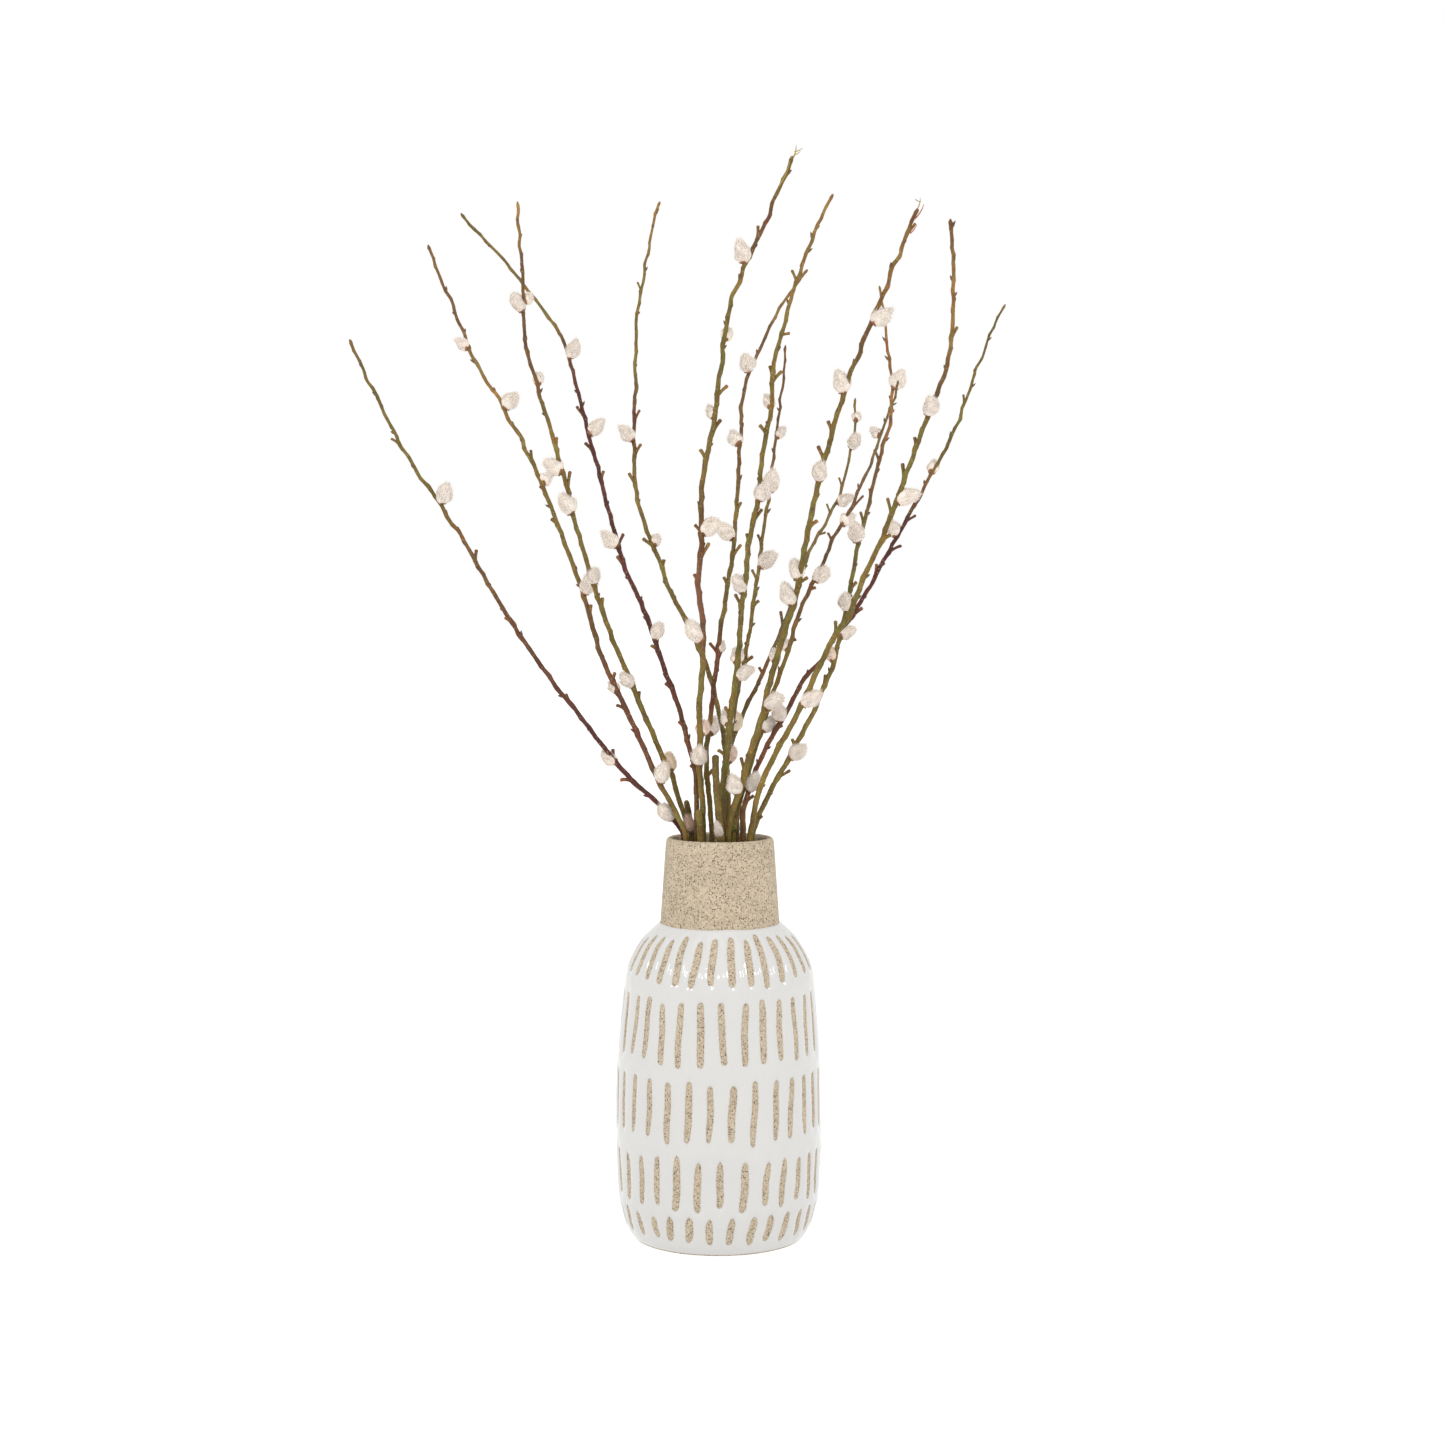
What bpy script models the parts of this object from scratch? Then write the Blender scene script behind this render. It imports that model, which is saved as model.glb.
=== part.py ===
"""Catkin willow stems standing in a stoneware vase.

Metres, +Z up, origin on the floor at the middle of the vase's foot.
Every stem is one solid: its bark, catkins, cut side twigs and buds are fused.
"""
import math
import random

import bmesh
import bpy
from mathutils import Matrix, Vector

MM = 0.001

# Vase
VASE_HEIGHT = 300 * MM
VASE_STEPS = 40
FOOT_RADIUS = 64 * MM
LIP_RADIUS = 37.6 * MM
# Outer side from the foot to the neck's top, as height and radius in millimetres
VASE_OUTSIDE = [
    (5, 69), (12.5, 72), (30, 75.5), (70, 77), (129, 76.2), (160, 74.6), (179, 73), (194, 71.9),
    (205, 69.6), (214, 65), (223.5, 58.7), (231.5, 51), (236, 45.2), (296.5, 40.5), (299, 39.6),
]
# Inner side from the lip down to the edge of the flat floor
VASE_INSIDE = [
    (299, 35.5), (296.5, 34.7), (240, 38.6), (230, 43.6), (221, 51.5), (211, 59), (202, 63.8),
    (180, 67.2), (100, 71), (30, 69.3), (14, 65.5), (8, 58),
]

# The point that the front view is taken from: each stem's route is given as it looks from there,
# on the upright plane through the vase's axis, and is then moved along its sight line to its depth
EYE = Vector((0.003, -1.80, 0.485))

# Stems inside the vase: they turn about the axis and spread from the neck down to the floor
RIM_HEIGHT = 300.0
NECK_HEIGHT = 272.0
NECK_DRAW = 0.90
FOOT_TURN = math.radians(80)
FOOT_SPREAD = 1.6
FOOT_GAP = 0.3
FOOT_HEIGHT = VASE_INSIDE[-1][0] + FOOT_GAP

STEM_SIDES = 5
TWIG_SIDES = 4
BUD_SIDES = 3
CATKIN_SIDES = 6
# Catkin outline: share of the length, share of the greatest radius
CATKIN_OUTLINE = [(0.0, 0.24), (0.20, 0.70), (0.45, 1.0), (0.74, 0.80)]
CATKIN_SLIMNESS = 0.37
CATKIN_RADIUS_LIMIT = 6.0
TWIG_RADIUS = 1.15
TWIG_END = 0.92
BUD_RADIUS = 1.0
BUD_LENGTH = 6.0
BUD_LEAN = math.radians(32)
BUDS_PER_STEM = 4
BUD_CLEARANCE = 9.0
TIP_TAPER = 0.6
SEED = 7

BARK_COLOUR = (0.19, 0.13, 0.05, 1.0)
CATKIN_COLOUR = (0.78, 0.71, 0.63, 1.0)
GLAZE_COLOUR = (0.86, 0.86, 0.84, 1.0)
BARK_ROUGHNESS = 0.62
CATKIN_ROUGHNESS = 0.9
GLAZE_ROUGHNESS = 0.12

# One row a stem, all in millimetres.
# rim: where it passes the vase's rim, right and back. depth: how far back it is at half height
# and at the tip. width: its diameter at the rim and near the tip.
# route: front-view points, right and up, from the rim to the tip.
# catkins and twigs: height of the foot on the route, then the end's offset right, up and back.
STEMS = {
    "stem_01": dict(
        rim=(-26, -1), depth=(-20, -50), width=(3.5, 1.7),
        route=[
            (-26.6, 303), (-33, 312.5), (-49.5, 329), (-64.5, 342), (-78, 357.5), (-95.5, 380),
            (-108, 397), (-118, 408), (-146.5, 448.5), (-163.5, 476), (-177, 499),
            (-191.5, 525.5), (-201.5, 538), (-206, 548), (-214, 559), (-221.5, 568),
            (-230, 583.5), (-236.5, 592), (-240.5, 602.5), (-248, 615), (-252, 627),
            (-260, 638.5), (-262, 646), (-269, 660.5), (-273, 669)],
        catkins=[(313, -10.5, 11.5, -6), (355, -11, 9, 4), (548, 5.5, 15.5, -3)],
        twigs=[(341.5, -9.5, 1, 0), (358, -0.5, 7.5, 3), (399, -4, 8, 0), (460, -5, 4, -2),
               (506, 1, 8, 2), (592, -6, 4, 0)]),
    "stem_02": dict(
        rim=(-24.5, -12), depth=(22, 90), width=(3.8, 1.8),
        route=[
            (-25, 304), (-33.5, 321.8), (-43.5, 339), (-49.5, 352), (-60.7, 377.5),
            (-69.5, 396.5), (-81.5, 422), (-88.5, 438), (-92, 451.5), (-100.5, 481.5),
            (-111.5, 512), (-120.5, 536), (-127.5, 554), (-137.5, 578), (-143, 587),
            (-146.5, 598.5), (-156, 610), (-158.5, 619), (-165, 630), (-172, 638),
            (-178.5, 651.5), (-184, 660), (-187.5, 673), (-193, 683), (-196, 695),
            (-203, 708), (-208.5, 722.5), (-214, 738.5)],
        catkins=[(340, 4, 16.5, -5), (408, -6.5, 7, 8), (480.5, 7.5, 19.5, -5),
                 (563, 7, 7, 8), (618, 10, 11.5, -2), (662, -11, 8, 4)],
        twigs=[(394, -8, 4.5, 0), (416.5, 2, 6.5, -3), (465, 1, 8.5, 0), (533, -5, 4, 2),
               (556, -4, 5, -3), (579, -1, 9, 0)]),
    "stem_03": dict(
        rim=(-19.5, 7), depth=(-22, -75), width=(3.8, 1.7),
        route=[
            (-20, 303), (-24.9, 314.8), (-29.8, 328), (-34.5, 346), (-41.5, 358.5),
            (-47, 372.5), (-54, 388.5), (-59.5, 401), (-64.5, 416), (-70, 427.5), (-78, 445),
            (-92, 485), (-100.5, 514.5), (-108.5, 541), (-112, 560), (-120, 587),
            (-127, 613), (-132, 625), (-133.5, 635), (-142, 660.5), (-144, 682.5),
            (-144, 700.5), (-144.5, 724), (-147, 739), (-146, 745.5), (-148, 753),
            (-147.5, 761), (-148, 770)],
        catkins=[(303, -4, 14, -5), (348.5, -1, 15, 4), (412.5, -9, 10.5, -5),
                 (489, 2.5, 11.5, -7), (540, -8.5, 15.5, -3), (571, -14.5, 8.5, 0),
                 (636, 1, 9, 9), (689, -7.5, 13, -4), (696, 5, 7, 7)],
        twigs=[(401, 0.5, 8, 0), (470, 0.5, 8.5, 2), (560, 2, 12, 0), (588, 0.5, 9, -2)]),
    "stem_04": dict(
        rim=(-16.3, -4), depth=(8, 60), width=(3.7, 1.7),
        route=[
            (-16.4, 304), (-16.5, 329), (-17, 350), (-19.5, 358.5), (-23, 371.5), (-26, 384),
            (-29, 395.5), (-33.5, 408), (-39, 421.5), (-44.5, 438), (-52, 461),
            (-60.5, 481.5), (-67.5, 495), (-71, 505), (-77, 527), (-83.5, 549.5),
            (-90, 578), (-95, 594), (-98, 607.5), (-106.5, 640), (-110, 654.5),
            (-116, 672), (-126, 686), (-136, 699.5), (-145.5, 711), (-157, 726),
            (-170.5, 740), (-180, 749.5), (-190, 761)],
        catkins=[(447, 5, 13, -3), (516, -13, 12, 0), (599, 12, 11.5, 0), (655, 6, 14.5, -4)],
        twigs=[(350, -4, 4, 0), (381, -4.5, 5.5, -2), (410, -5.5, 5, 0), (438, -6, 5, 0),
               (502, -5.5, 7.5, 0), (518, 4, 8, 2), (565, 2, 7.5, 0), (586, -6.5, 7, -2),
               (612, -6, 8, 0)]),
    "stem_05": dict(
        rim=(5.6, 2), depth=(50, 140), width=(3.8, 1.6),
        route=[
            (5.7, 304), (7.3, 324.7), (6.8, 348), (3.7, 377), (-0.5, 396.5), (-5, 416),
            (-10.5, 432), (-25, 463), (-38, 487), (-42, 502), (-52.5, 526), (-60, 549.5),
            (-62.5, 569), (-62, 585), (-63, 597), (-62, 609), (-62.5, 624), (-60.5, 633),
            (-62, 646), (-60.5, 669), (-61, 681.5), (-58, 699.5), (-55, 714), (-54, 726),
            (-51, 735), (-50, 744.5), (-46.5, 760), (-43.5, 770)],
        catkins=[(517, 3.5, 8, 8), (594.5, -11.5, 11.5, -1)],
        twigs=[(501, 1.5, 6, 0), (517, -8, 5.5, 0), (563, -5, 8, 0), (584, 5, 8.5, 0),
               (610, 4, 7.5, -2), (704, -3, 7.5, 0)]),
    "stem_06": dict(
        rim=(-11.6, -11), depth=(-40, -95), width=(4.3, 1.7),
        route=[
            (-11.6, 304), (-11.8, 324), (-14.5, 351.5), (-13.5, 372), (-14.5, 396.5),
            (-12, 424), (-11.5, 460.5), (-15.5, 488), (-12.5, 516.5), (-13, 545),
            (-12.5, 561), (-8, 587), (-3.5, 605), (-0.6, 630), (0, 642), (3.4, 651),
            (2.6, 661), (5.7, 677), (8.5, 692.6), (9.3, 699.3), (16.1, 711.7), (19.3, 724),
            (24.9, 733), (29.2, 744.3), (37, 757.8), (39.9, 770), (45.3, 780.3),
            (50.4, 791), (58, 808)],
        catkins=[(354, 1, 15, -8), (376, 4, 10, 9), (445, -11, 17, -2), (526, 13, 9.5, -1),
                 (611, -4.5, 10, 7), (669, 5, 8, 7), (724.5, -5, 17, -3)],
        twigs=[(490, -3, 6, 0), (508, 6.5, 11, 0), (527, -5, 5.5, 0), (580, -4.5, 8, 0),
               (600, 6.5, 10, 0), (628, 7.5, 7, 0), (744, 0, 8, 0)]),
    "stem_07": dict(
        rim=(-5, 3), depth=(20, 72), width=(3.8, 1.7),
        route=[
            (-5, 304), (-7, 330.5), (-9, 347), (-9, 369), (-7.5, 377), (-4.5, 400),
            (-3.5, 415), (-1, 428.5), (0, 442.5), (1.5, 457), (5, 473), (6.5, 487),
            (8.7, 498.4), (11.3, 514.3), (12.4, 532.5), (14.7, 564.3), (15.6, 590.4),
            (17.2, 605.2), (16.5, 617.6), (19.8, 635.8), (23, 646), (28, 656), (37, 676),
            (42, 686), (45, 691.5), (52, 702), (60, 712.5), (65.5, 720.5)],
        catkins=[(376, 6, 14, 8), (437, 4, 9, 8), (522, -13, 13, 0), (591, -6, 12, 6),
                 (645, -4, 13, -8)],
        twigs=[(345, 4.5, 5.5, 0), (437, -6.5, 8, 0), (488, -3, 6, 0), (509, 6.5, 9, 0),
               (540, 4, 9.5, 0)]),
    "stem_08": dict(
        rim=(3.9, -9), depth=(-44, -105), width=(4.3, 1.8),
        route=[
            (3.8, 304), (2, 324), (4, 346), (7.5, 372.5), (9, 394.2), (13, 418),
            (15.5, 442), (17.4, 474.5), (20.2, 490.4), (21.9, 516.6), (25.5, 533.7),
            (30.1, 553), (31.8, 579.1), (35.3, 599.5), (39.3, 618), (39.9, 643),
            (42.7, 660), (48.1, 676.9), (50.4, 687), (54.4, 702.8), (61.2, 720.8),
            (64.3, 732), (69.6, 741.6), (72.1, 752.7), (76.4, 757.4), (78.1, 763.6),
            (84.7, 775.4)],
        catkins=[(383, -4, 12, 8), (419, 13.5, 7, -4), (429, -2, 12, 8), (481.5, -7, 13.5, -2),
                 (550, 7.5, 15, -5), (619, -4.5, 10, 7)],
        twigs=[(360, -6.5, 5, 0), (391, -4, 6.5, -2), (472, -5, 9, 0), (519, -1.5, 7, 0),
               (535, 6.5, 9, 0), (600, -5, 6, 0), (638, 7, 7.5, 0), (642, -2, 7.5, 0),
               (672.5, 6, 1, 0), (711.5, -3.5, 8, 0)]),
    "stem_09": dict(
        rim=(3, 14), depth=(30, 58), width=(3.6, 1.3),
        route=[
            (3, 304), (4, 325), (6, 350), (8.5, 372), (11.5, 392), (15, 413.5), (20, 433),
            (20.5, 442.5), (23.5, 452.5), (24.5, 463), (27.1, 482.4), (30.3, 501.8),
            (31.7, 516.6), (35.1, 540.5), (37, 549.5), (39.9, 574.5), (41.9, 591.5),
            (43.1, 600.6), (45.6, 618.8), (45.5, 625), (48.2, 638), (49.1, 658),
            (49.6, 665)],
        catkins=[(355, 4.5, 13, 5), (430, -1.5, 10, 8), (501, 13.5, 10.5, -3),
                 (556, 3.5, 18.5, -6), (596.5, 7, 8.5, 4)],
        twigs=[(430, 6.5, 5, -3), (472, 4.5, 4.5, 0), (492, -4, 7.5, 0), (518, -3, 7.5, 0)]),
    "stem_10": dict(
        rim=(6.8, -17), depth=(-58, -125), width=(4.5, 1.8),
        route=[
            (7, 304), (9.6, 317.8), (18, 340), (21.2, 355.1), (30.3, 383.7), (33.8, 392.9),
            (36.6, 410.1), (45.8, 441), (50.4, 457.2), (56.9, 476.7), (61.5, 500.6),
            (64.3, 516.6), (69.1, 540.5), (74.6, 565.5), (78.3, 581.4), (83.4, 595),
            (84.1, 602.9), (91.7, 625), (95.9, 637.4), (96.8, 644.2), (103.5, 655.5),
            (107.4, 670.1), (113.6, 682.5), (115.2, 689.3), (125, 708), (127, 719.7),
            (134.7, 732.1), (136, 738.8), (146.5, 765)],
        catkins=[(332, -5, 15.5, -4), (397, 14, 8, -5), (430, -1, 10, 8), (472.5, -7, 17.5, -1),
                 (491, -4, 16, 5), (564.5, 2.5, 14, -8), (629, -5.5, 17, -1),
                 (681, 15, 10, -2)],
        twigs=[(348, -3, 11.5, 0), (389, 6.5, 6.5, -3), (489, 7, 4.5, 0), (530, 6.5, 5.5, 0),
               (581, -4.5, 9.5, 0), (602, -3, 7, 0), (746, 6, 7.5, 0)]),
    "stem_11": dict(
        rim=(2, 22), depth=(76, 165), width=(3.5, 1.4),
        route=[
            (2.2, 304), (3.5, 320), (4.5, 340), (7, 357), (9.7, 371.2), (17.2, 389.5),
            (21.7, 399.9), (30.3, 415.9), (36.6, 430.8), (48, 457), (60, 490), (67.2, 512),
            (72.9, 523.4), (78, 530.2), (84.3, 543.9), (88.8, 550.7), (92.8, 564.3),
            (96.8, 580.2), (97.9, 588.2), (101, 600), (101.1, 612), (101, 626)],
        catkins=[(379, -1.5, 17, -5), (548.5, 14, 6, -1), (588.5, 5.5, 12, -6),
                 (609, 3.5, 7, 8)],
        twigs=[(422, -3, 5, 0), (457, -2, 12, 0), (525.5, 5.5, 1.5, 0), (541, -3, 7.5, 0),
               (560, -2.5, 8, 0)]),
    "stem_12": dict(
        rim=(24.8, 3), depth=(46, 108), width=(3.9, 1.5),
        route=[
            (25.4, 304), (30.8, 317.8), (43.4, 343.2), (50.3, 354.1), (57.2, 367.9),
            (71.5, 394.3), (77.8, 411.5), (84.6, 425.3), (89.8, 447), (95.1, 469.9),
            (100, 497.2), (103.7, 520), (110, 540.5), (111.7, 548.4), (115.1, 564.3),
            (119.1, 579.1), (122.5, 593.9), (127.6, 607.5), (127.9, 624.5), (129.2, 634),
            (126.5, 653.2), (124.2, 666.8), (123.6, 680.3), (120.1, 700.6), (118.6, 708.5)],
        catkins=[(358.5, 13, 10.5, -2), (431, -4.5, 11, 7), (449.5, 12.5, 6, 0),
                 (469.5, -1, 13, -9), (519, -4.5, 17, -6), (632.5, 8.5, 15, -2)],
        twigs=[(310, 5, 6, 0), (344.5, 9.5, 5.5, 0), (367, -2, 6.5, 0), (413, 1, 8.5, 0),
               (485, 5, 5.5, 0), (533, -2.5, 9.5, 0), (579.5, -4, 9, 0)]),
    "stem_13": dict(
        rim=(10.8, -4), depth=(-14, -45), width=(3.8, 1.3),
        route=[
            (11, 304), (13.5, 318), (21.5, 345), (27, 365), (34, 386), (38.5, 402),
            (45.8, 421.8), (52.6, 440.1), (57.2, 459.7), (63.8, 476.7), (72.9, 494.9),
            (79.1, 506.4), (83.7, 520), (91.1, 532.5), (97.9, 542.8), (103.7, 557.5),
            (107.6, 566.6), (113.9, 578), (114.5, 583.6), (119, 595), (123.3, 608),
            (126.5, 616.5), (131, 628), (133, 639)],
        catkins=[(379, 11, 11.5, 4), (439, -3, 9, 8), (490.5, 10.5, 10.5, -2),
                 (532.5, 10, 7.5, 5), (598, -6.5, 6.5, 6)],
        twigs=[(446, 4, 1.5, 0), (484, 5, 2, 0), (520.5, -3, 6, 0), (543, 9.5, 11, 0)]),
    "stem_14": dict(
        rim=(23.3, -16), depth=(-68, -155), width=(4.1, 2.0),
        route=[
            (23.8, 304), (25.8, 312), (27.9, 327), (33.1, 343.1), (45.8, 369), (54.9, 383.9),
            (64.1, 403.4), (77.8, 433.3), (86.9, 451.7), (96.8, 463.1), (101.4, 476.7),
            (107.6, 492.6), (114.5, 507.4), (121.9, 522.3), (127.6, 539.3), (133.8, 554.1),
            (138.4, 568.9), (144.7, 583.6), (146.4, 590.4), (155.5, 613.1), (161.5, 629.5),
            (167.3, 643.1), (169.2, 651), (172.1, 667.9), (173.5, 691.6), (173.3, 707.3),
            (173.7, 723.1), (171.4, 750.1), (171.1, 757.4)],
        catkins=[(398.5, 15, 9.5, -3), (549.5, 17.5, 6, -2), (613, 2, 13, -8)],
        twigs=[(452, 0, 9, 3), (521, 6.5, 4, 0), (541, -3, 11, 0), (567, -1.5, 10.5, 0),
               (590, -1, 7, 0), (671, 4, 7, 0)]),
    "stem_15": dict(
        rim=(17.6, -9), depth=(-18, -42), width=(3.7, 1.3),
        route=[
            (17.7, 304), (18.2, 320), (27.3, 349), (38.9, 373.6), (48.6, 389.7),
            (57.2, 405.7), (60.6, 413.8), (69.8, 425.3), (76.6, 431), (84, 445),
            (91, 455.5), (99.7, 464.2), (106, 476.7), (114, 488.1), (116.3, 494.9),
            (124.3, 508.6), (131.7, 522.3), (139.1, 534.8), (144.8, 547.3), (149.4, 551.8),
            (152.2, 559.8), (160.8, 575.7), (168.8, 588.2), (171.6, 596.1), (178.9, 610.8),
            (180.6, 618.8), (187.5, 636), (189.2, 645.4), (195.1, 655.5), (199.1, 669),
            (204.1, 680.3), (211.8, 695)],
        catkins=[(334.5, 6, 14, -7), (386, -1, 15, -4), (523.5, -6, 13, 3),
                 (570.5, 3, 10, 9)],
        twigs=[(326, 6.5, 5, 0), (381, 4.5, 2.5, 0), (467, 6, 4, 0), (496, 0.5, 7.5, 0),
               (511.5, 10, 5.5, 0), (535.5, 7, 4, 0), (621.5, -0.5, 7, 0)]),
}

# Thick stems cut off low above the rim, as rows of the same kind
CUT_STEMS = {
    "cut_stem_1": dict(
        rim=(-21, 18), depth=(18.5, 19), width=(4.5, 4.2),
        route=[(-20.5, 304), (-21.8, 316), (-24.3, 327.5)], catkins=[], twigs=[]),
    "cut_stem_2": dict(
        rim=(-14, -20), depth=(-21, -21.5), width=(4.9, 4.6),
        route=[(-13.6, 304), (-14, 312), (-15.2, 320.5)], catkins=[], twigs=[]),
    "cut_stem_3": dict(
        rim=(2, -24), depth=(-24, -24), width=(5.0, 4.7),
        route=[(1.6, 304), (0.3, 314), (-1.6, 338), (-2.4, 361.5)],
        catkins=[(299, -3.5, 13, -4)], twigs=[]),
    "cut_stem_4": dict(
        rim=(13.3, 9), depth=(9.5, 10), width=(4.1, 3.9),
        route=[(13.4, 304), (13.5, 315), (13.2, 326)], catkins=[], twigs=[]),
    "cut_stem_5": dict(
        rim=(18.5, 18), depth=(18.5, 19), width=(4.6, 4.3),
        route=[(18.3, 304), (18.2, 314), (17.8, 323.6)], catkins=[], twigs=[]),
}


def clear_scene():
    """Remove what a new file starts with."""
    for item in list(bpy.data.objects):
        bpy.data.objects.remove(item, do_unlink=True)


def make_material(name, colour, roughness):
    """Make a plain Principled material."""
    material = bpy.data.materials.new(name)
    material.use_nodes = True
    shader = material.node_tree.nodes["Principled BSDF"]
    shader.inputs["Base Color"].default_value = colour
    shader.inputs["Roughness"].default_value = roughness
    shader.inputs["Metallic"].default_value = 0.0
    return material


def finish_mesh(name, mesh_builder, material, collection):
    """Turn a bmesh into a smooth-shaded object with outward faces."""
    bmesh.ops.recalc_face_normals(mesh_builder, faces=mesh_builder.faces)
    mesh = bpy.data.meshes.new(name)
    mesh_builder.to_mesh(mesh)
    mesh_builder.free()
    mesh.materials.append(material)
    made = bpy.data.objects.new(name, mesh)
    collection.objects.link(made)
    return made


def body_from_rings(name, rings, material, collection):
    """Make one closed body from rings of points; a ring of one point is a pointed end."""
    builder = bmesh.new()
    loops = [[builder.verts.new(point) for point in ring] for ring in rings]
    for lower, upper in zip(loops, loops[1:]):
        count = len(lower)
        for index in range(count):
            following = (index + 1) % count
            if len(upper) == 1:
                builder.faces.new((lower[index], lower[following], upper[0]))
            else:
                builder.faces.new((lower[index], lower[following], upper[following], upper[index]))
    for loop in (loops[0], loops[-1]):
        if len(loop) > 2:
            builder.faces.new(loop)
    return finish_mesh(name, builder, material, collection)


def ring_points(centre, across, along, radius, sides):
    """Place points evenly on a circle that spans the two given unit directions."""
    angles = [2 * math.pi * index / sides for index in range(sides)]
    return [centre + radius * (across * math.cos(a) + along * math.sin(a)) for a in angles]


def turned_rings(foot, direction, stations, sides):
    """Rings of a body turned about a straight axis, from pairs of distance and radius."""
    direction = direction.normalized()
    across = direction.orthogonal().normalized()
    along = direction.cross(across)
    rings = []
    for distance, radius in stations:
        centre = foot + direction * distance
        rings.append([centre] if radius == 0 else ring_points(centre, across, along, radius, sides))
    return rings


def tube_rings(points, radii, sides):
    """Rings of a tube along a route, carried on without twist; the first ring lies level."""
    last = len(points) - 1
    heading = Vector((0, 0, 1))
    across = Vector((1, 0, 0))
    rings = []
    for index, point in enumerate(points):
        if index:
            turned = (points[min(index + 1, last)] - points[index - 1]).normalized()
            across = heading.rotation_difference(turned) @ across
            heading = turned
        rings.append(ring_points(point, across, heading.cross(across), radii[index], sides))
    return rings


def to_depth(right, up, back):
    """Move a front-view point along its sight line to the given distance behind the axis."""
    seen = Vector((right, 0, up)) * MM
    return EYE + (seen - EYE) * (1 - back * MM / EYE.y)


def depth_at(row, height):
    """Distance behind the axis at a height: a parabola through the rim, half-way and tip values."""
    share = (height - RIM_HEIGHT) / (row["route"][-1][1] - RIM_HEIGHT)
    start = row["rim"][1]
    middle, end = row["depth"]
    linear = 4 * middle - 3 * start - end
    return start + linear * share + (end - start - linear) * share ** 2


def inside_points(row):
    """The part of a stem inside the vase: a straight run that turns about the axis and spreads."""
    neck = complex(*row["rim"]) * NECK_DRAW
    foot = neck * FOOT_SPREAD * complex(math.cos(FOOT_TURN), math.sin(FOOT_TURN))
    return [Vector((foot.real, foot.imag, FOOT_HEIGHT)) * MM,
            Vector((neck.real, neck.imag, NECK_HEIGHT)) * MM]


def front_place(row, height):
    """Position on the route at a front-view height."""
    route = row["route"]
    if height <= route[0][1]:
        return to_depth(route[0][0], height, depth_at(row, height))
    for (low_x, low_z), (high_x, high_z) in zip(route, route[1:]):
        if height <= high_z:
            share = (height - low_z) / (high_z - low_z)
            return to_depth(low_x + (high_x - low_x) * share, height, depth_at(row, height))
    return to_depth(*route[-1], depth_at(row, height))


def stem_radius(row, height):
    """Radius in metres: nearly even inside the vase, then thinning toward the tip."""
    share = max(0.0, (height - RIM_HEIGHT) / (row["route"][-1][1] - RIM_HEIGHT))
    at_rim, at_tip = row["width"]
    return 0.5 * MM * (at_rim + (at_tip - at_rim) * share ** 0.9)


def stem_body(name, row, material, collection):
    """The bare stem, from its cut foot on the vase's floor to its tip."""
    points = inside_points(row)
    heights = [FOOT_HEIGHT, NECK_HEIGHT]
    for right, up in row["route"]:
        points.append(to_depth(right, up, depth_at(row, up)))
        heights.append(up)
    radii = [stem_radius(row, height) for height in heights]
    if name in STEMS:
        radii[-1] *= TIP_TAPER
    return body_from_rings(name, tube_rings(points, radii, STEM_SIDES), material, collection)


def catkin_body(row, spec, material, collection):
    """One catkin: a blunt egg whose root is sunk to the stem's axis."""
    height, right, up, back = spec
    offset = Vector((right, back, up)) * MM
    length = offset.length
    widest = min(CATKIN_SLIMNESS * length, CATKIN_RADIUS_LIMIT * MM)
    stations = [(share * length, size * widest) for share, size in CATKIN_OUTLINE]
    rings = turned_rings(front_place(row, height), offset, stations + [(length, 0)], CATKIN_SIDES)
    return body_from_rings("catkin", rings, material, collection)


def twig_body(row, spec, material, collection):
    """One cut side twig, slightly thinner at its blunt end."""
    height, right, up, back = spec
    offset = Vector((right, back, up)) * MM
    radius = min(TWIG_RADIUS * MM, stem_radius(row, height) * TWIG_END)
    stations = [(0, radius), (offset.length, radius * TWIG_END)]
    rings = turned_rings(front_place(row, height), offset, stations, TWIG_SIDES)
    return body_from_rings("twig", rings, material, collection)


def bud_bodies(row, material, collection, draw):
    """Small pointed buds on alternate sides, away from catkins and twigs."""
    taken = [spec[0] for spec in row["catkins"] + row["twigs"]]
    free = [up for right, up in row["route"][2:-1]
            if all(abs(up - height) > BUD_CLEARANCE for height in taken)]
    made = []
    for index, height in enumerate(draw.sample(free, min(BUDS_PER_STEM, len(free)))):
        foot = front_place(row, height)
        heading = (front_place(row, height + 2) - foot).normalized()
        side = heading.orthogonal().normalized()
        side = Matrix.Rotation(draw.uniform(0, 2 * math.pi), 3, heading) @ side
        direction = heading * math.cos(BUD_LEAN) + side * math.sin(BUD_LEAN)
        radius = min(BUD_RADIUS * MM, stem_radius(row, height) * TWIG_END)
        stations = [(0, radius), (BUD_LENGTH * MM, 0)]
        rings = turned_rings(foot, direction, stations, BUD_SIDES)
        made.append(body_from_rings("bud", rings, material, collection))
    return made


def fuse(stem, collection):
    """Join everything in a collection to a stem with one Boolean union, then remove it."""
    union = stem.modifiers.new("fuse", "BOOLEAN")
    union.operation = "UNION"
    union.operand_type = "COLLECTION"
    union.collection = collection
    union.solver = "EXACT"
    union.material_mode = "TRANSFER"
    bpy.context.view_layer.update()
    evaluated = stem.evaluated_get(bpy.context.evaluated_depsgraph_get())
    fused = bpy.data.meshes.new_from_object(evaluated)
    stem.modifiers.clear()
    stem.data = fused
    for item in list(collection.objects):
        bpy.data.objects.remove(item, do_unlink=True)
    bpy.data.collections.remove(collection)


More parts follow.
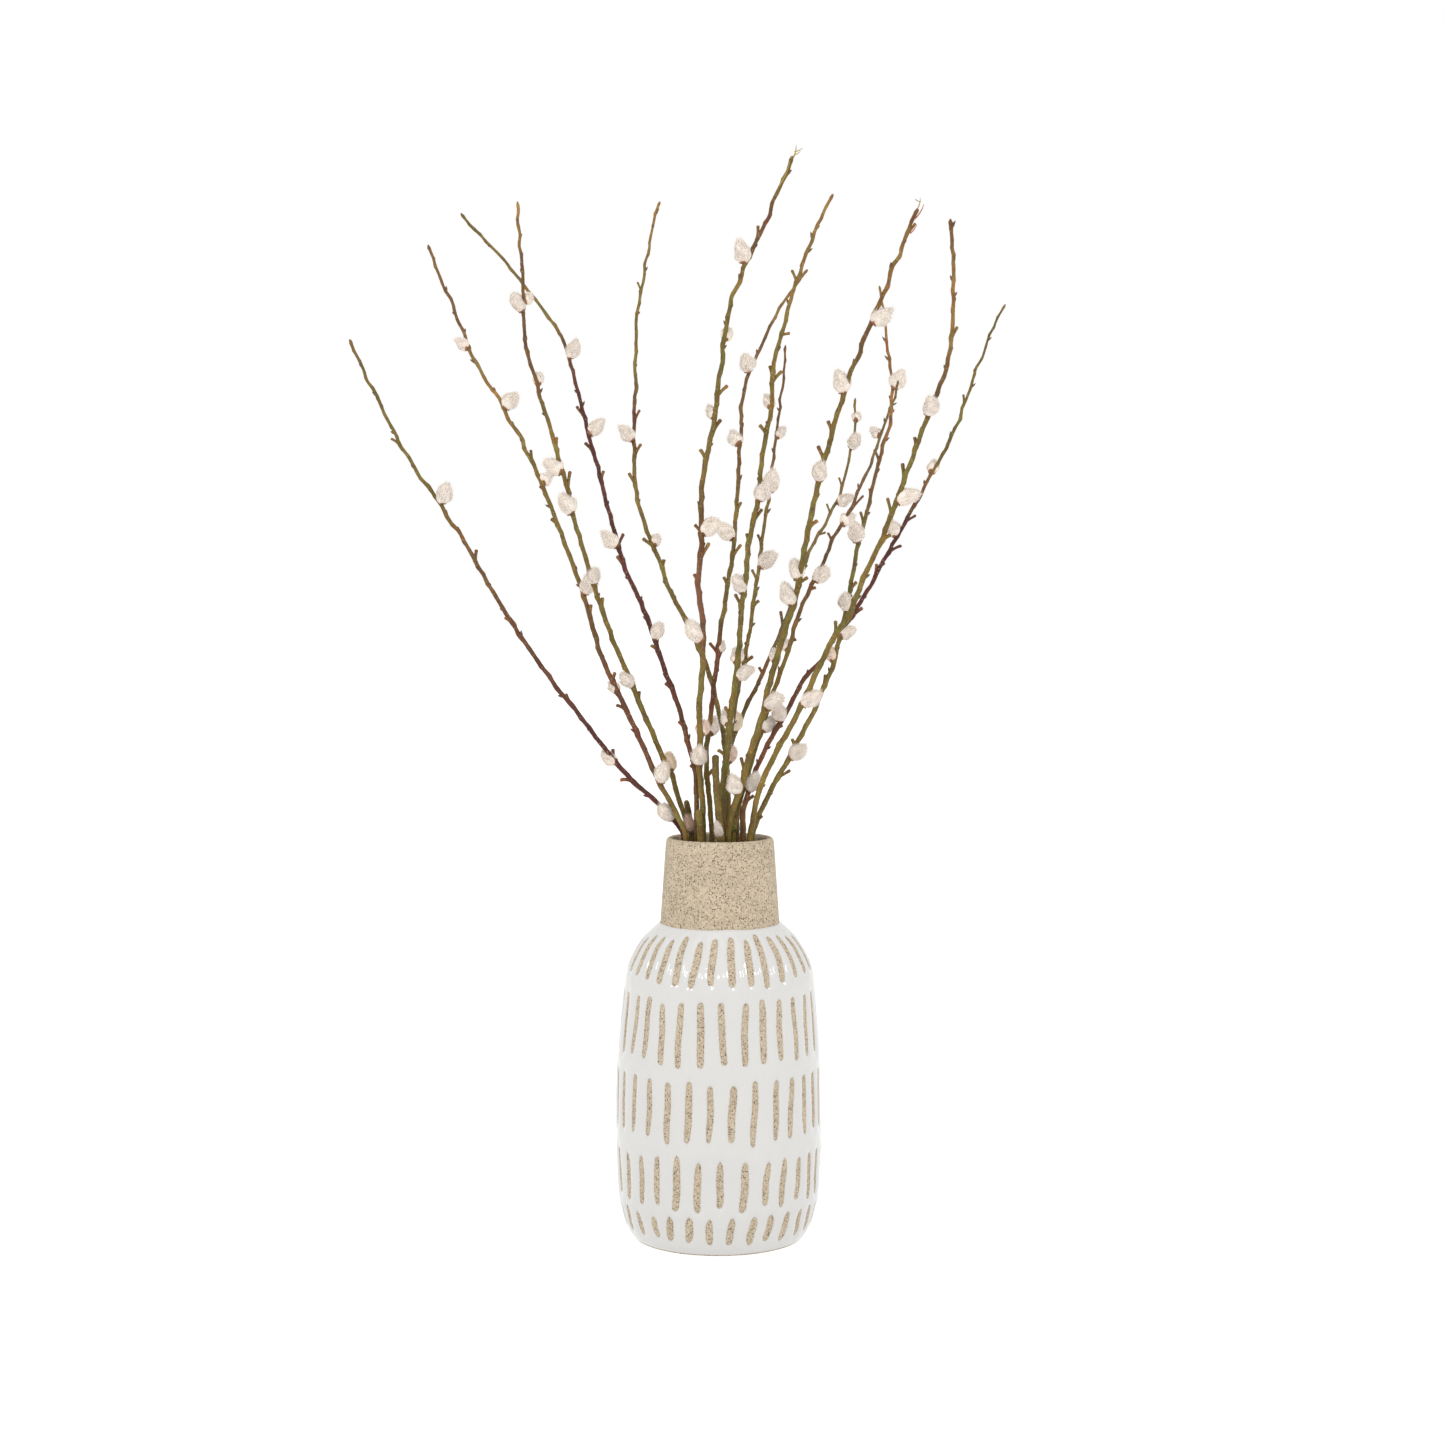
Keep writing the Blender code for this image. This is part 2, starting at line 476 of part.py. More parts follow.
def make_stem(name, row, bark, silk, draw):
    """One whole stem as a single solid."""
    scene_collection = bpy.context.scene.collection
    stem = stem_body(name, row, bark, scene_collection)
    growth = bpy.data.collections.new(name + "_growth")
    scene_collection.children.link(growth)
    for spec in row["catkins"]:
        catkin_body(row, spec, silk, growth)
    for spec in row["twigs"]:
        twig_body(row, spec, bark, growth)
    if name in STEMS:
        bud_bodies(row, bark, growth, draw)
    if growth.objects:
        fuse(stem, growth)
    else:
        bpy.data.collections.remove(growth)
    stem.data.shade_smooth()
    return stem


def make_vase(material):
    """The vase: one turned profile, up the outside and down the inside, with two flat faces."""
    outline = [(FOOT_RADIUS, 0)]
    outline += [(radius * MM, height * MM) for height, radius in VASE_OUTSIDE]
    outline += [(LIP_RADIUS, VASE_HEIGHT)]
    outline += [(radius * MM, height * MM) for height, radius in VASE_INSIDE]
    builder = bmesh.new()
    verts = [builder.verts.new((radius, 0, height)) for radius, height in outline]
    edges = [builder.edges.new(pair) for pair in zip(verts, verts[1:])]
    bmesh.ops.spin(builder, geom=verts + edges, cent=(0, 0, 0), axis=(0, 0, 1),
                   angle=2 * math.pi, steps=VASE_STEPS, use_merge=True)
    bmesh.ops.holes_fill(builder, edges=builder.edges, sides=VASE_STEPS)
    vase = finish_mesh("vase", builder, material, bpy.context.scene.collection)
    vase.data.shade_smooth()
    vase.data.set_sharp_from_angle(angle=math.radians(35))
    return vase


def main():
    """Build the vase and everything that stands in it."""
    clear_scene()
    bark = make_material("bark", BARK_COLOUR, BARK_ROUGHNESS)
    silk = make_material("catkin_silk", CATKIN_COLOUR, CATKIN_ROUGHNESS)
    glaze = make_material("glaze", GLAZE_COLOUR, GLAZE_ROUGHNESS)
    make_vase(glaze)
    draw = random.Random(SEED)
    for name, row in {**STEMS, **CUT_STEMS}.items():
        make_stem(name, row, bark, silk, draw)


main()
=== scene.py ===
"""Catkin willow stems standing in a glazed stoneware vase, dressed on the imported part.

The vase and all stems are worked out again as fine surfaces from the solids' own sizes.
The glaze, the bare dashes, the bark's colours, the bud scales and the catkins' hairs are added here.
Metres, +Z up, origin on the floor at the middle of the vase's foot; the front faces -Y.
"""

import math
import random

import bpy
import numpy as np
from mathutils import Matrix, Vector


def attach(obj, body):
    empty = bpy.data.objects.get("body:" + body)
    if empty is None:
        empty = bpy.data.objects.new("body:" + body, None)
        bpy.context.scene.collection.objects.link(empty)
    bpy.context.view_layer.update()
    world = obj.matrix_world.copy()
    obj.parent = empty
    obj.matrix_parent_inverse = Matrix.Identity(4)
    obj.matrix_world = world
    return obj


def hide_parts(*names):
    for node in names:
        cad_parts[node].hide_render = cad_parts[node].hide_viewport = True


bl_info = {
    "name": "Willow Stems in Vase",
    "version": (1, 0, 0),
    "blender": (4, 5, 0),
    "location": "View3D > Sidebar > Willow",
    "description": "Catkin willow stems in a stoneware vase, on the packed part",
    "category": "Add Mesh",
}

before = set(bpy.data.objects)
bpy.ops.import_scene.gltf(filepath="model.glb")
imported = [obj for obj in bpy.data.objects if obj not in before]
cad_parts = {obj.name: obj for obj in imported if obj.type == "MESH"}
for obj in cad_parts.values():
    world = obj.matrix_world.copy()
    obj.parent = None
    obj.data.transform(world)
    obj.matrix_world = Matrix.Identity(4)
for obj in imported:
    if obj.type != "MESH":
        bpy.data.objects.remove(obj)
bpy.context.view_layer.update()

MM = 0.001
WHITE = (1.0, 1.0, 1.0, 1.0)
GOLDEN_TURN = math.pi * (3 - math.sqrt(5))

# Vase, in millimetres: outer side as height and radius, then the lip, then the inside
BODY_SIDE = [
    (0, 63.4), (5, 68), (12.5, 71.2), (30, 75.3), (70, 77.4), (129, 76.5), (160, 74.1), (179, 72.4),
    (194, 71.1), (205, 68.7), (214, 64.5), (223.5, 58.8), (231.5, 51), (236, 44.5),
]
NECK_SIDE = [(236, 44.5), (296, 40.4)]
# The real neck stands a little to the right: height and shift
NECK_SHIFT = [(130, 0.0), (155, 0.3), (180, 0.6), (205, 1.0), (300, 1.1)]
LIP = [(296, 40.4), (299, 39.7), (300, 37.6), (299, 35.5), (296, 34.7)]
INSIDE = [
    (296, 34.7), (240, 38.6), (230, 43.6), (221, 51.5), (211, 59), (202, 63.8), (180, 67.2),
    (100, 71), (30, 69.3), (14, 65.5), (8, 58),
]
FLOOR_HEIGHT = 8.0
# How far apart the outline's points stand, and how softly it turns
BODY_STEP = 1.45
NECK_STEP, NECK_BLUR = 4.0, 0.5
LIP_STEP, LIP_BLUR = 0.55, 0.8
INSIDE_STEP, INSIDE_BLUR = 9.0, 4.0
# The glaze ends this far below the neck and above the foot, in a wavy line. Its puddles and its
# thick upper edge are given as shares of its depth.
GLAZE_TOP_GAP, GLAZE_FOOT_GAP = 0.2, 1.2
PUDDLE, BEAD = 0.10, 0.4
# Values of the bare clay's layer: at the two closing points, and far from every dash
WELL_BARE, FAR_FROM_DASHES = 5.0, -60.0
DASH_SEED = 31
# The share of a dash's length over which it narrows, at each end
DASH_TAPER = 0.35

# The brushed dashes of the front half, row by row from the shoulder down: their width, how much
# they narrow at the foot and at the head, and then each dash as its angle from the front in degrees,
# its lean in degrees, and the heights of its two ends. The back half repeats them half a turn on.
DASH_ROWS = [
    (5.3, (0.12, 0.42), [
        (-86.5, 0, 203, 226), (-75, 0, 202, 227), (-63, 0, 201, 230), (-51, 0, 200, 230),
        (-39.8, -1, 198, 229), (-28.2, 0, 198, 232), (-16, 2.4, 197, 229), (-4.7, 1.6, 199, 231),
        (8, 1, 198, 232), (20, 0.8, 198, 230), (30.5, 2.2, 196, 233), (42.8, 2, 199, 231),
        (55, 1, 201, 231), (67, 0, 202, 229), (79.5, 0, 203, 228)]),
    (5.1, (0.18, 0.22), [
        (-83.5, 0, 143, 187), (-71, 0, 143, 187), (-57.5, 3, 144, 187), (-46.5, 2, 143, 188),
        (-34.8, -1.5, 140, 184), (-23.2, 0.7, 139, 186), (-10.5, 0, 140, 187), (2, -1.8, 142, 187),
        (15.1, 1, 141, 186), (26, -0.8, 142, 188), (37.5, -0.4, 143, 187), (49.7, -1, 141, 187),
        (61.3, 0.6, 142, 187), (73, 0, 143, 187), (85, 0, 143, 187)]),
    (5.0, (0.34, 0.24), [
        (-92, 0, 86, 129), (-79.5, 0, 86, 129), (-67, 0, 87, 129), (-54.5, 2.5, 87, 130),
        (-41.8, 1, 87, 129), (-29.2, 0, 83, 128), (-16.7, 0.8, 85, 130), (-4.7, 1, 86, 127),
        (7.6, 1, 86, 127), (20, 1.4, 82, 130), (33.5, 1.5, 85, 129), (44.2, 1.6, 85, 129),
        (56.2, -1, 85, 129), (67.2, 0, 87, 129), (78, 0, 86, 129)]),
    (5.4, (0.22, 0.42), [
        (-86, 0, 37, 70), (-74.5, 0, 37, 70), (-61.2, 1, 35, 70), (-48, 1.5, 35, 71),
        (-36.1, 0.8, 37, 73), (-23.8, 1.6, 34, 75), (-11.4, 0.8, 34, 71), (0.8, 0.8, 38, 72),
        (14.3, 1.3, 34, 71), (27.5, 2, 38, 70), (38.4, 1.2, 35, 71), (50.3, 1, 38, 69),
        (61.7, -0.8, 35, 70), (72.5, 0, 36, 70), (83, 0, 37, 70)]),
    (5.4, (0.38, 0.45), [
        (-91, 0, 10, 29), (-78.5, 0, 10, 29), (-66, 0, 10, 29), (-53, -1, 10, 28),
        (-39.8, -1, 11, 27), (-29.4, 0.8, 10, 29), (-17.2, 1.2, 10, 30), (-5.1, 0, 9, 29),
        (7, 1, 9, 30), (19.8, 1.5, 8, 30), (30.5, 1.8, 10, 30), (42.2, 1.8, 8, 30),
        (54.5, 1, 9, 29), (66, 0, 10, 29), (78, 0, 10, 29)]),
]

# The point that the front view is taken from: each stem's route is given as it looks from there,
# on the upright plane through the vase's axis, and is then moved along its sight line
EYE = np.array((0.003, -1.80, 0.485))
RIM_HEIGHT = 300.0
# Inside the neck, at this height, a stem stands nearer the axis by this share than at the rim
NECK_HEIGHT, NECK_DRAW = 272.0, 0.90
# Its cut foot is turned on round the axis from there, further out, just above the vase's floor
FOOT_TURN, FOOT_SPREAD, STEM_FOOT = math.radians(80), 1.6, 8.3

# How thick the bark is against the solid's core: front-view height and share
BARK_SHARE = [(280, 1.03), (310, 1.05), (420, 1.19), (600, 1.25), (810, 1.20)]

# The solids' own buds: the seed that places them, their number, how clear of other things they
# stand, their lean from the stem, and their length
SEED, BUDS_PER_STEM, BUD_CLEARANCE = 7, 4, 9.0
BUD_LEAN, BUD_LENGTH = math.radians(32), 6.2

# Buds and scars each stand this far on from the last, as a twig grows
TWIG_TURN = math.radians(144)
# A knot far below the foot, so that the list of knots is never empty
NO_KNOT = -1000.0
# How far apart a stem's path points stand and how softly it turns, and its rings in and above the vase
STEM_STEP, STEM_BLUR = 0.8, 2.0
RING_GAP_INSIDE, RING_GAP = 12.0, 1.75
# How much thicker a stem is at a knot, at most at several, and over what half height
KNOT_SWELL, MOST_SWELL, KNOT_REACH = 0.17, 0.2, 2.3
# How many scars a stem has, how far they stand out and reach, and how far the stem turns at them
SCARS, SCAR_DEPTH, SCAR_REACH, KINK = 80, 0.42, 1.5, 0.3
# Scars and kinks are weaker near the rim: front-view height and share
ROUGHNESS = ([300, 430], [0.35, 1.0])
# Small buds: where they begin and end, how far apart they are, and how clear of other things
BUDS_FROM, BUDS_END, BUD_GAP, SMALL_BUD_CLEARANCE = 330, 16, (10, 18), 6
# Points round each kind of surface
STEM_SIDES, STUB_SIDES, BUD_SIDES, THREAD_SIDES = 11, 7, 6, 5
CATKIN_SIDES, SCALE_SIDES, FLOOR_SIDES = 14, 9, 96

# Named bark colours run into each other over twice this height
COLOUR_RUN = 15
# The range of the bark's slow changes of brightness, and what its warmth does to red, green and blue
BARK_BRIGHTNESS = (0.62, 0.94)
WARMTH = (0.08, -0.02, -0.08)
# Bark colours by name, as sRGB hex
BARK = {
    "olive": "#776631", "green": "#71642f", "ochre": "#8c6e3b", "orange": "#8f6237",
    "brown": "#715331", "red": "#6b4430", "purple": "#562f2a", "mauve": "#785540",
    "grey": "#74663f", "dark": "#67582d", "straw": "#94833f", "pink": "#a2655b",
}

# One row a stem, all in millimetres.
# rim: where it passes the rim, right and back. depth: how far back it is at half height and at
# the tip. width: its diameter at the rim and near the tip. bark: colours from a height upward.
# route: front-view points, right and up, from the rim to the tip.
# catkins and twigs: height of the foot on the route, then the end's offset right, up and back. Some
# catkins have a fifth number, their greatest radius as a share of their length.
# threads: torn strips of bark at the tip, each from one front-view point to another, with its width.
# leaves: small green leaf buds, given as the catkins are.
STEMS = {
    "stem_01": dict(
        rim=(-26, -1), depth=(-20, -50), width=(3.5, 1.7),
        bark=[(300, "purple"), (400, "red"), (470, "brown"), (540, "olive"), (660, "ochre")],
        route=[(-26.6, 303), (-33, 312.5), (-49.5, 329), (-64.5, 342), (-78, 357.5), (-95.5, 380),
            (-108, 397), (-118, 408), (-146.5, 448.5), (-163.5, 476), (-177, 499), (-191.5, 525.5),
            (-201.5, 538), (-206, 548), (-214, 559), (-221.5, 568), (-230, 583.5), (-236.5, 592),
            (-240.5, 602.5), (-248, 615), (-252, 627), (-260, 638.5), (-262, 646), (-269, 660.5),
            (-273, 669)],
        catkins=[(313, -10.5, 11.5, -6), (355, -11, 9, 4), (548, 5.5, 15.5, -3)],
        twigs=[(341.5, -9.5, 1, 0), (358, -0.5, 7.5, 3), (399, -4, 8, 0), (460, -5, 4, -2), (506, 1, 8, 2),
            (592, -6, 4, 0)]),
    "stem_02": dict(
        rim=(-24.5, -12), depth=(22, 90), width=(3.8, 1.8),
        bark=[(300, "olive"), (345, "red"), (430, "brown"), (480, "olive"), (600, "ochre"), (670, "brown")],
        route=[(-25, 304), (-33.5, 321.8), (-43.5, 339), (-49.5, 352), (-60.7, 377.5), (-69.5, 396.5),
            (-81.5, 422), (-88.5, 438), (-92, 451.5), (-100.5, 481.5), (-111.5, 512), (-120.5, 536),
            (-127.5, 554), (-137.5, 578), (-143, 587), (-146.5, 598.5), (-156, 610), (-158.5, 619),
            (-165, 630), (-172, 638), (-178.5, 651.5), (-184, 660), (-187.5, 673), (-193, 683), (-196, 695),
            (-203, 708), (-208.5, 722.5), (-214, 738.5)],
        catkins=[(340, 4, 16.5, -5), (408, -6.5, 7, 8), (480.5, 7.5, 19.5, -5), (563, 7, 7, 8),
            (618, 10, 11.5, -2), (662, -11, 8, 4)],
        twigs=[(394, -8, 4.5, 0), (416.5, 2, 6.5, -3), (465, 1, 8.5, 0), (533, -5, 4, 2), (556, -4, 5, -3),
            (579, -1, 9, 0)]),
    "stem_03": dict(
        rim=(-19.5, 7), depth=(-22, -75), width=(3.8, 1.7),
        bark=[(300, "green"), (480, "olive"), (620, "brown"), (740, "ochre")],
        route=[(-20, 303), (-24.9, 314.8), (-29.8, 328), (-34.5, 346), (-41.5, 358.5), (-47, 372.5),
            (-54, 388.5), (-59.5, 401), (-64.5, 416), (-70, 427.5), (-78, 445), (-92, 485), (-100.5, 514.5),
            (-108.5, 541), (-112, 560), (-120, 587), (-127, 613), (-132, 625), (-133.5, 635), (-142, 660.5),
            (-144, 682.5), (-144, 700.5), (-144.5, 724), (-147, 739), (-146, 745.5), (-148, 753),
            (-147.5, 761), (-148, 770)],
        catkins=[(303, -4, 14, -5), (348.5, -1, 15, 4), (412.5, -9, 10.5, -5), (489, 2.5, 11.5, -7),
            (540, -8.5, 15.5, -3), (571, -14.5, 8.5, 0), (636, 1, 9, 9), (689, -7.5, 13, -4),
            (696, 5, 7, 7)],
        twigs=[(401, 0.5, 8, 0), (470, 0.5, 8.5, 2), (560, 2, 12, 0), (588, 0.5, 9, -2)]),
    "stem_04": dict(
        rim=(-16.3, -4), depth=(8, 60), width=(3.7, 1.7),
        bark=[(300, "brown"), (345, "red"), (400, "purple"), (640, "red"), (670, "olive")],
        route=[(-16.4, 304), (-16.5, 329), (-17, 350), (-19.5, 358.5), (-23, 371.5), (-26, 384),
            (-29, 395.5), (-33.5, 408), (-39, 421.5), (-44.5, 438), (-52, 461), (-60.5, 481.5),
            (-67.5, 495), (-71, 505), (-77, 527), (-83.5, 549.5), (-90, 578), (-95, 594), (-98, 607.5),
            (-106.5, 640), (-110, 654.5), (-116, 672), (-126, 686), (-136, 699.5), (-145.5, 711),
            (-157, 726), (-170.5, 740), (-180, 749.5), (-190, 761)],
        catkins=[(447, 5, 13, -3), (516, -13, 12, 0), (599, 12, 11.5, 0), (655, 6, 14.5, -4)],
        twigs=[(350, -4, 4, 0), (381, -4.5, 5.5, -2), (410, -5.5, 5, 0), (438, -6, 5, 0),
            (502, -5.5, 7.5, 0), (518, 4, 8, 2), (565, 2, 7.5, 0), (586, -6.5, 7, -2), (612, -6, 8, 0)]),
    "stem_05": dict(
        rim=(5.6, 2), depth=(50, 140), width=(3.8, 1.6),
        bark=[(300, "olive"), (585, "red"), (630, "olive"), (720, "ochre")],
        route=[(5.7, 304), (7.3, 324.7), (6.8, 348), (3.7, 377), (-0.5, 396.5), (-5, 416), (-10.5, 432),
            (-25, 463), (-38, 487), (-42, 502), (-52.5, 526), (-60, 549.5), (-62.5, 569), (-62, 585),
            (-63, 597), (-62, 609), (-62.5, 624), (-60.5, 633), (-62, 646), (-60.5, 669), (-61, 681.5),
            (-58, 699.5), (-55, 714), (-54, 726), (-51, 735), (-50, 744.5), (-46.5, 760), (-43.5, 770)],
        catkins=[(517, 3.5, 8, 8), (594.5, -11.5, 11.5, -1)],
        twigs=[(501, 1.5, 6, 0), (517, -8, 5.5, 0), (563, -5, 8, 0), (584, 5, 8.5, 0), (610, 4, 7.5, -2),
            (704, -3, 7.5, 0)]),
    "stem_06": dict(
        rim=(-11.6, -11), depth=(-40, -95), width=(4.3, 2.1),
        bark=[(300, "olive"), (440, "mauve"), (505, "brown"), (560, "olive"), (720, "brown"), (745, "red"),
            (772, "olive")],
        route=[(-11.6, 304), (-11.8, 324), (-14.5, 351.5), (-13.5, 372), (-14.5, 396.5), (-12, 424),
            (-11.5, 460.5), (-15.5, 488), (-12.5, 516.5), (-13, 545), (-12.5, 561), (-8, 587), (-3.5, 605),
            (-0.6, 630), (0, 642), (3.4, 651), (2.6, 661), (5.7, 677), (8.5, 692.6), (9.3, 699.3),
            (16.1, 711.7), (19.3, 724), (24.9, 733), (29.2, 744.3), (37, 757.8), (39.9, 770), (45.3, 780.3),
            (49.6, 789), (55, 803)],
        catkins=[(354, 1, 15, -8), (376, 4, 10, 9), (445, -11, 17, -2), (526, 13.5, 9.5, -1, 0.44),
            (611, -4.5, 10, 7), (669, 5, 8, 7), (724.5, -5, 17, -3)],
        twigs=[(490, -3, 6, 0), (508, 6.5, 11, 0), (527, -5, 5.5, 0), (580, -4.5, 8, 0), (600, 6.5, 10, 0),
            (628, 7.5, 7, 0), (744, 0, 8, 0)],
        threads=[(54.5, 800.5, 57.2, 811, 1.0, "straw"), (55.8, 806, 62, 808.8, 0.8, "straw"),
            (55.2, 803.5, 60.4, 806.5, 0.8, "straw"), (44.4, 781, 53.4, 803.5, 1.0, "straw")]),
    "stem_07": dict(
        rim=(-5, 3), depth=(20, 72), width=(3.8, 1.7),
        bark=[(300, "olive"), (385, "red"), (455, "olive"), (560, "brown"), (680, "ochre")],
        route=[(-5, 304), (-7, 330.5), (-9, 347), (-9, 369), (-7.5, 377), (-4.5, 400), (-3.5, 415),
            (-1, 428.5), (0, 442.5), (1.5, 457), (5, 473), (6.5, 487), (8.7, 498.4), (11.3, 514.3),
            (12.4, 532.5), (14.7, 564.3), (15.6, 590.4), (17.2, 605.2), (16.5, 617.6), (19.8, 635.8),
            (23, 646), (28, 656), (37, 676), (42, 686), (45, 691.5), (52, 702), (60, 712.5),
            (65.5, 720.5)],
        catkins=[(376, 6, 14, 8), (437, 4, 9, 8), (522, -13.5, 12, 0, 0.42), (591, -6, 12, 6),
            (645, -4, 13, -8)],
        twigs=[(345, 4.5, 5.5, 0), (437, -6.5, 8, 0), (488, -3, 6, 0), (509, 6.5, 9, 0), (540, 4, 9.5, 0)]),
    "stem_08": dict(
        rim=(3.9, -9), depth=(-44, -105), width=(4.3, 1.8),
        bark=[(300, "green"), (520, "olive"), (700, "ochre")],
        route=[(3.8, 304), (2, 324), (4, 346), (7.5, 372.5), (9, 394.2), (13, 418), (15.5, 442),
            (17.4, 474.5), (20.2, 490.4), (21.9, 516.6), (25.5, 533.7), (30.1, 553), (31.8, 579.1),
            (35.3, 599.5), (39.3, 618), (39.9, 643), (42.7, 660), (48.1, 676.9), (50.4, 687), (54.4, 702.8),
            (61.2, 720.8), (64.3, 732), (69.6, 741.6), (72.1, 752.7), (76.4, 757.4), (78.1, 763.6),
            (84.7, 775.4)],
        catkins=[(383, -4, 12, 8), (419, 13.5, 7, -4), (429, -2, 12, 8), (481.5, -7, 13.5, -2),
            (550, 7.5, 15, -5), (619, -4.5, 10, 7)],
        twigs=[(360, -6.5, 5, 0), (391, -4, 6.5, -2), (472, -5, 9, 0), (519, -1.5, 7, 0), (535, 6.5, 9, 0),
            (600, -5, 6, 0), (638, 7, 7.5, 0), (642, -2, 7.5, 0), (672.5, 6, 1, 0), (711.5, -3.5, 8, 0)]),
    "stem_09": dict(
        rim=(3, 14), depth=(30, 58), width=(3.6, 1.3), bark=[(300, "dark"), (420, "olive"), (560, "brown")],
        route=[(3, 304), (4, 325), (6, 350), (8.5, 372), (11.5, 392), (15, 413.5), (20, 433), (20.5, 442.5),
            (23.5, 452.5), (24.5, 463), (27.1, 482.4), (30.3, 501.8), (31.7, 516.6), (35.1, 540.5),
            (37, 549.5), (39.9, 574.5), (41.9, 591.5), (43.1, 600.6), (45.6, 618.8), (45.5, 625),
            (48.2, 638), (49.1, 658), (49.6, 665)],
        catkins=[(355, 4.5, 13, 5), (430, -1.5, 10, 8), (501, 13.5, 10.5, -3), (556, 3.5, 18.5, -6),
            (596.5, 7, 8.5, 4)],
        twigs=[(430, 6.5, 5, -3), (472, 4.5, 4.5, 0), (492, -4, 7.5, 0), (518, -3, 7.5, 0)]),
    "stem_10": dict(
        rim=(6.8, -17), depth=(-58, -125), width=(4.5, 2.1),
        bark=[(300, "olive"), (430, "green"), (560, "olive"), (650, "brown"), (700, "ochre"),
            (745, "brown")],
        route=[(7, 304), (9.6, 317.8), (18, 340), (21.2, 355.1), (30.3, 383.7), (33.8, 392.9),
            (36.6, 410.1), (45.8, 441), (50.4, 457.2), (56.9, 476.7), (61.5, 500.6), (64.3, 516.6),
            (69.1, 540.5), (74.6, 565.5), (78.3, 581.4), (83.4, 595), (84.1, 602.9), (91.7, 625),
            (95.9, 637.4), (96.8, 644.2), (103.5, 655.5), (107.4, 670.1), (113.6, 682.5), (115.2, 689.3),
            (125, 708), (127, 719.7), (134.7, 732.1), (136, 738.8), (146.5, 765)],
        catkins=[(332, -5, 15.5, -4), (397, 14, 8, -5), (430, -1, 10, 8), (472.5, -7, 17.5, -1),
            (491, -4, 16, 5), (564.5, 2.5, 14, -8), (629, -5.5, 17, -1), (681, 15, 10, -2)],
        twigs=[(348, -3, 11.5, 0), (389, 6.5, 6.5, -3), (489, 7, 4.5, 0), (530, 6.5, 5.5, 0),
            (581, -4.5, 9.5, 0), (602, -3, 7, 0), (746, 6, 7.5, 0)],
        threads=[(146.3, 764, 148.7, 772.4, 0.9, "straw"), (145, 771.4, 149.6, 769.4, 0.7, "straw"),
            (144, 756.5, 151.4, 767.9, 1.2, "pink"), (141.2, 746.5, 146.2, 752.9, 1.0, "pink")]),
    "stem_11": dict(
        rim=(2, 22), depth=(76, 165), width=(3.5, 1.4),
        bark=[(300, "dark"), (400, "brown"), (450, "grey"), (560, "olive")],
        route=[(2.2, 304), (3.5, 320), (4.5, 340), (7, 357), (9.7, 371.2), (17.2, 389.5), (21.7, 399.9),
            (30.3, 415.9), (36.6, 430.8), (48, 457), (60, 490), (67.2, 512), (72.9, 523.4), (78, 530.2),
            (84.3, 543.9), (88.8, 550.7), (92.8, 564.3), (96.8, 580.2), (97.9, 588.2), (101, 600),
            (101.1, 612), (101, 626)],
        catkins=[(379, -1.5, 17, -5), (548.5, 14, 6, -1), (588.5, 5.5, 12, -6), (609, 3.5, 7, 8)],
        twigs=[(422, -3, 5, 0), (457, -2, 12, 0), (525.5, 5.5, 1.5, 0), (541, -3, 7.5, 0),
            (560, -2.5, 8, 0)]),
    "stem_12": dict(
        rim=(24.8, 3), depth=(46, 108), width=(3.9, 1.5),
        bark=[(300, "olive"), (440, "green"), (540, "brown"), (600, "orange"), (680, "ochre")],
        route=[(25.4, 304), (30.8, 317.8), (43.4, 343.2), (50.3, 354.1), (57.2, 367.9), (71.5, 394.3),
            (77.8, 411.5), (84.6, 425.3), (89.8, 447), (95.1, 469.9), (100, 497.2), (103.7, 520),
            (110, 540.5), (111.7, 548.4), (115.1, 564.3), (119.1, 579.1), (122.5, 593.9), (127.6, 607.5),
            (127.9, 624.5), (129.2, 634), (126.5, 653.2), (124.2, 666.8), (123.6, 680.3), (120.1, 700.6),
            (118.6, 708.5)],
        catkins=[(358.5, 13, 10.5, -2), (431, -4.5, 11, 7), (449.5, 12.5, 6, 0), (469.5, -1, 13, -9),
            (519, -4.5, 17, -6), (632.5, 8.5, 15, -2)],
        twigs=[(310, 5, 6, 0), (344.5, 9.5, 5.5, 0), (367, -2, 6.5, 0), (413, 1, 8.5, 0), (485, 5, 5.5, 0),
            (533, -2.5, 9.5, 0), (579.5, -4, 9, 0)]),
    "stem_13": dict(
        rim=(10.8, -4), depth=(-14, -45), width=(3.8, 1.3),
        bark=[(300, "olive"), (450, "brown"), (520, "mauve"), (570, "grey")],
        route=[(11, 304), (13.5, 318), (21.5, 345), (27, 365), (34, 386), (38.5, 402), (45.8, 421.8),
            (52.6, 440.1), (57.2, 459.7), (63.8, 476.7), (72.9, 494.9), (79.1, 506.4), (83.7, 520),
            (91.1, 532.5), (97.9, 542.8), (103.7, 557.5), (107.6, 566.6), (113.9, 578), (114.5, 583.6),
            (119, 595), (123.3, 608), (126.5, 616.5), (131, 628), (133, 639)],
        catkins=[(379, 11, 11.5, 4), (439, -3, 9, 8), (490.5, 10.5, 10.5, -2), (532.5, 10, 7.5, 5),
            (598, -6.5, 6.5, 6)],
        twigs=[(446, 4, 1.5, 0), (484, 5, 2, 0), (520.5, -3, 6, 0), (543, 9.5, 11, 0)],
        leaves=[(304, -5, 3, -4), (304, -1.5, 7, -4.5), (304, 1.5, 5.5, -4), (303.5, -3.5, 6, -3.5),
            (304.5, 2.5, 2, -4)]),
    "stem_14": dict(
        rim=(23.3, -16), depth=(-68, -155), width=(4.1, 2.0),
        bark=[(300, "olive"), (520, "green"), (620, "brown"), (660, "ochre"), (730, "brown")],
        route=[(23.8, 304), (25.8, 312), (27.9, 327), (33.1, 343.1), (45.8, 369), (54.9, 383.9),
            (64.1, 403.4), (77.8, 433.3), (86.9, 451.7), (96.8, 463.1), (101.4, 476.7), (107.6, 492.6),
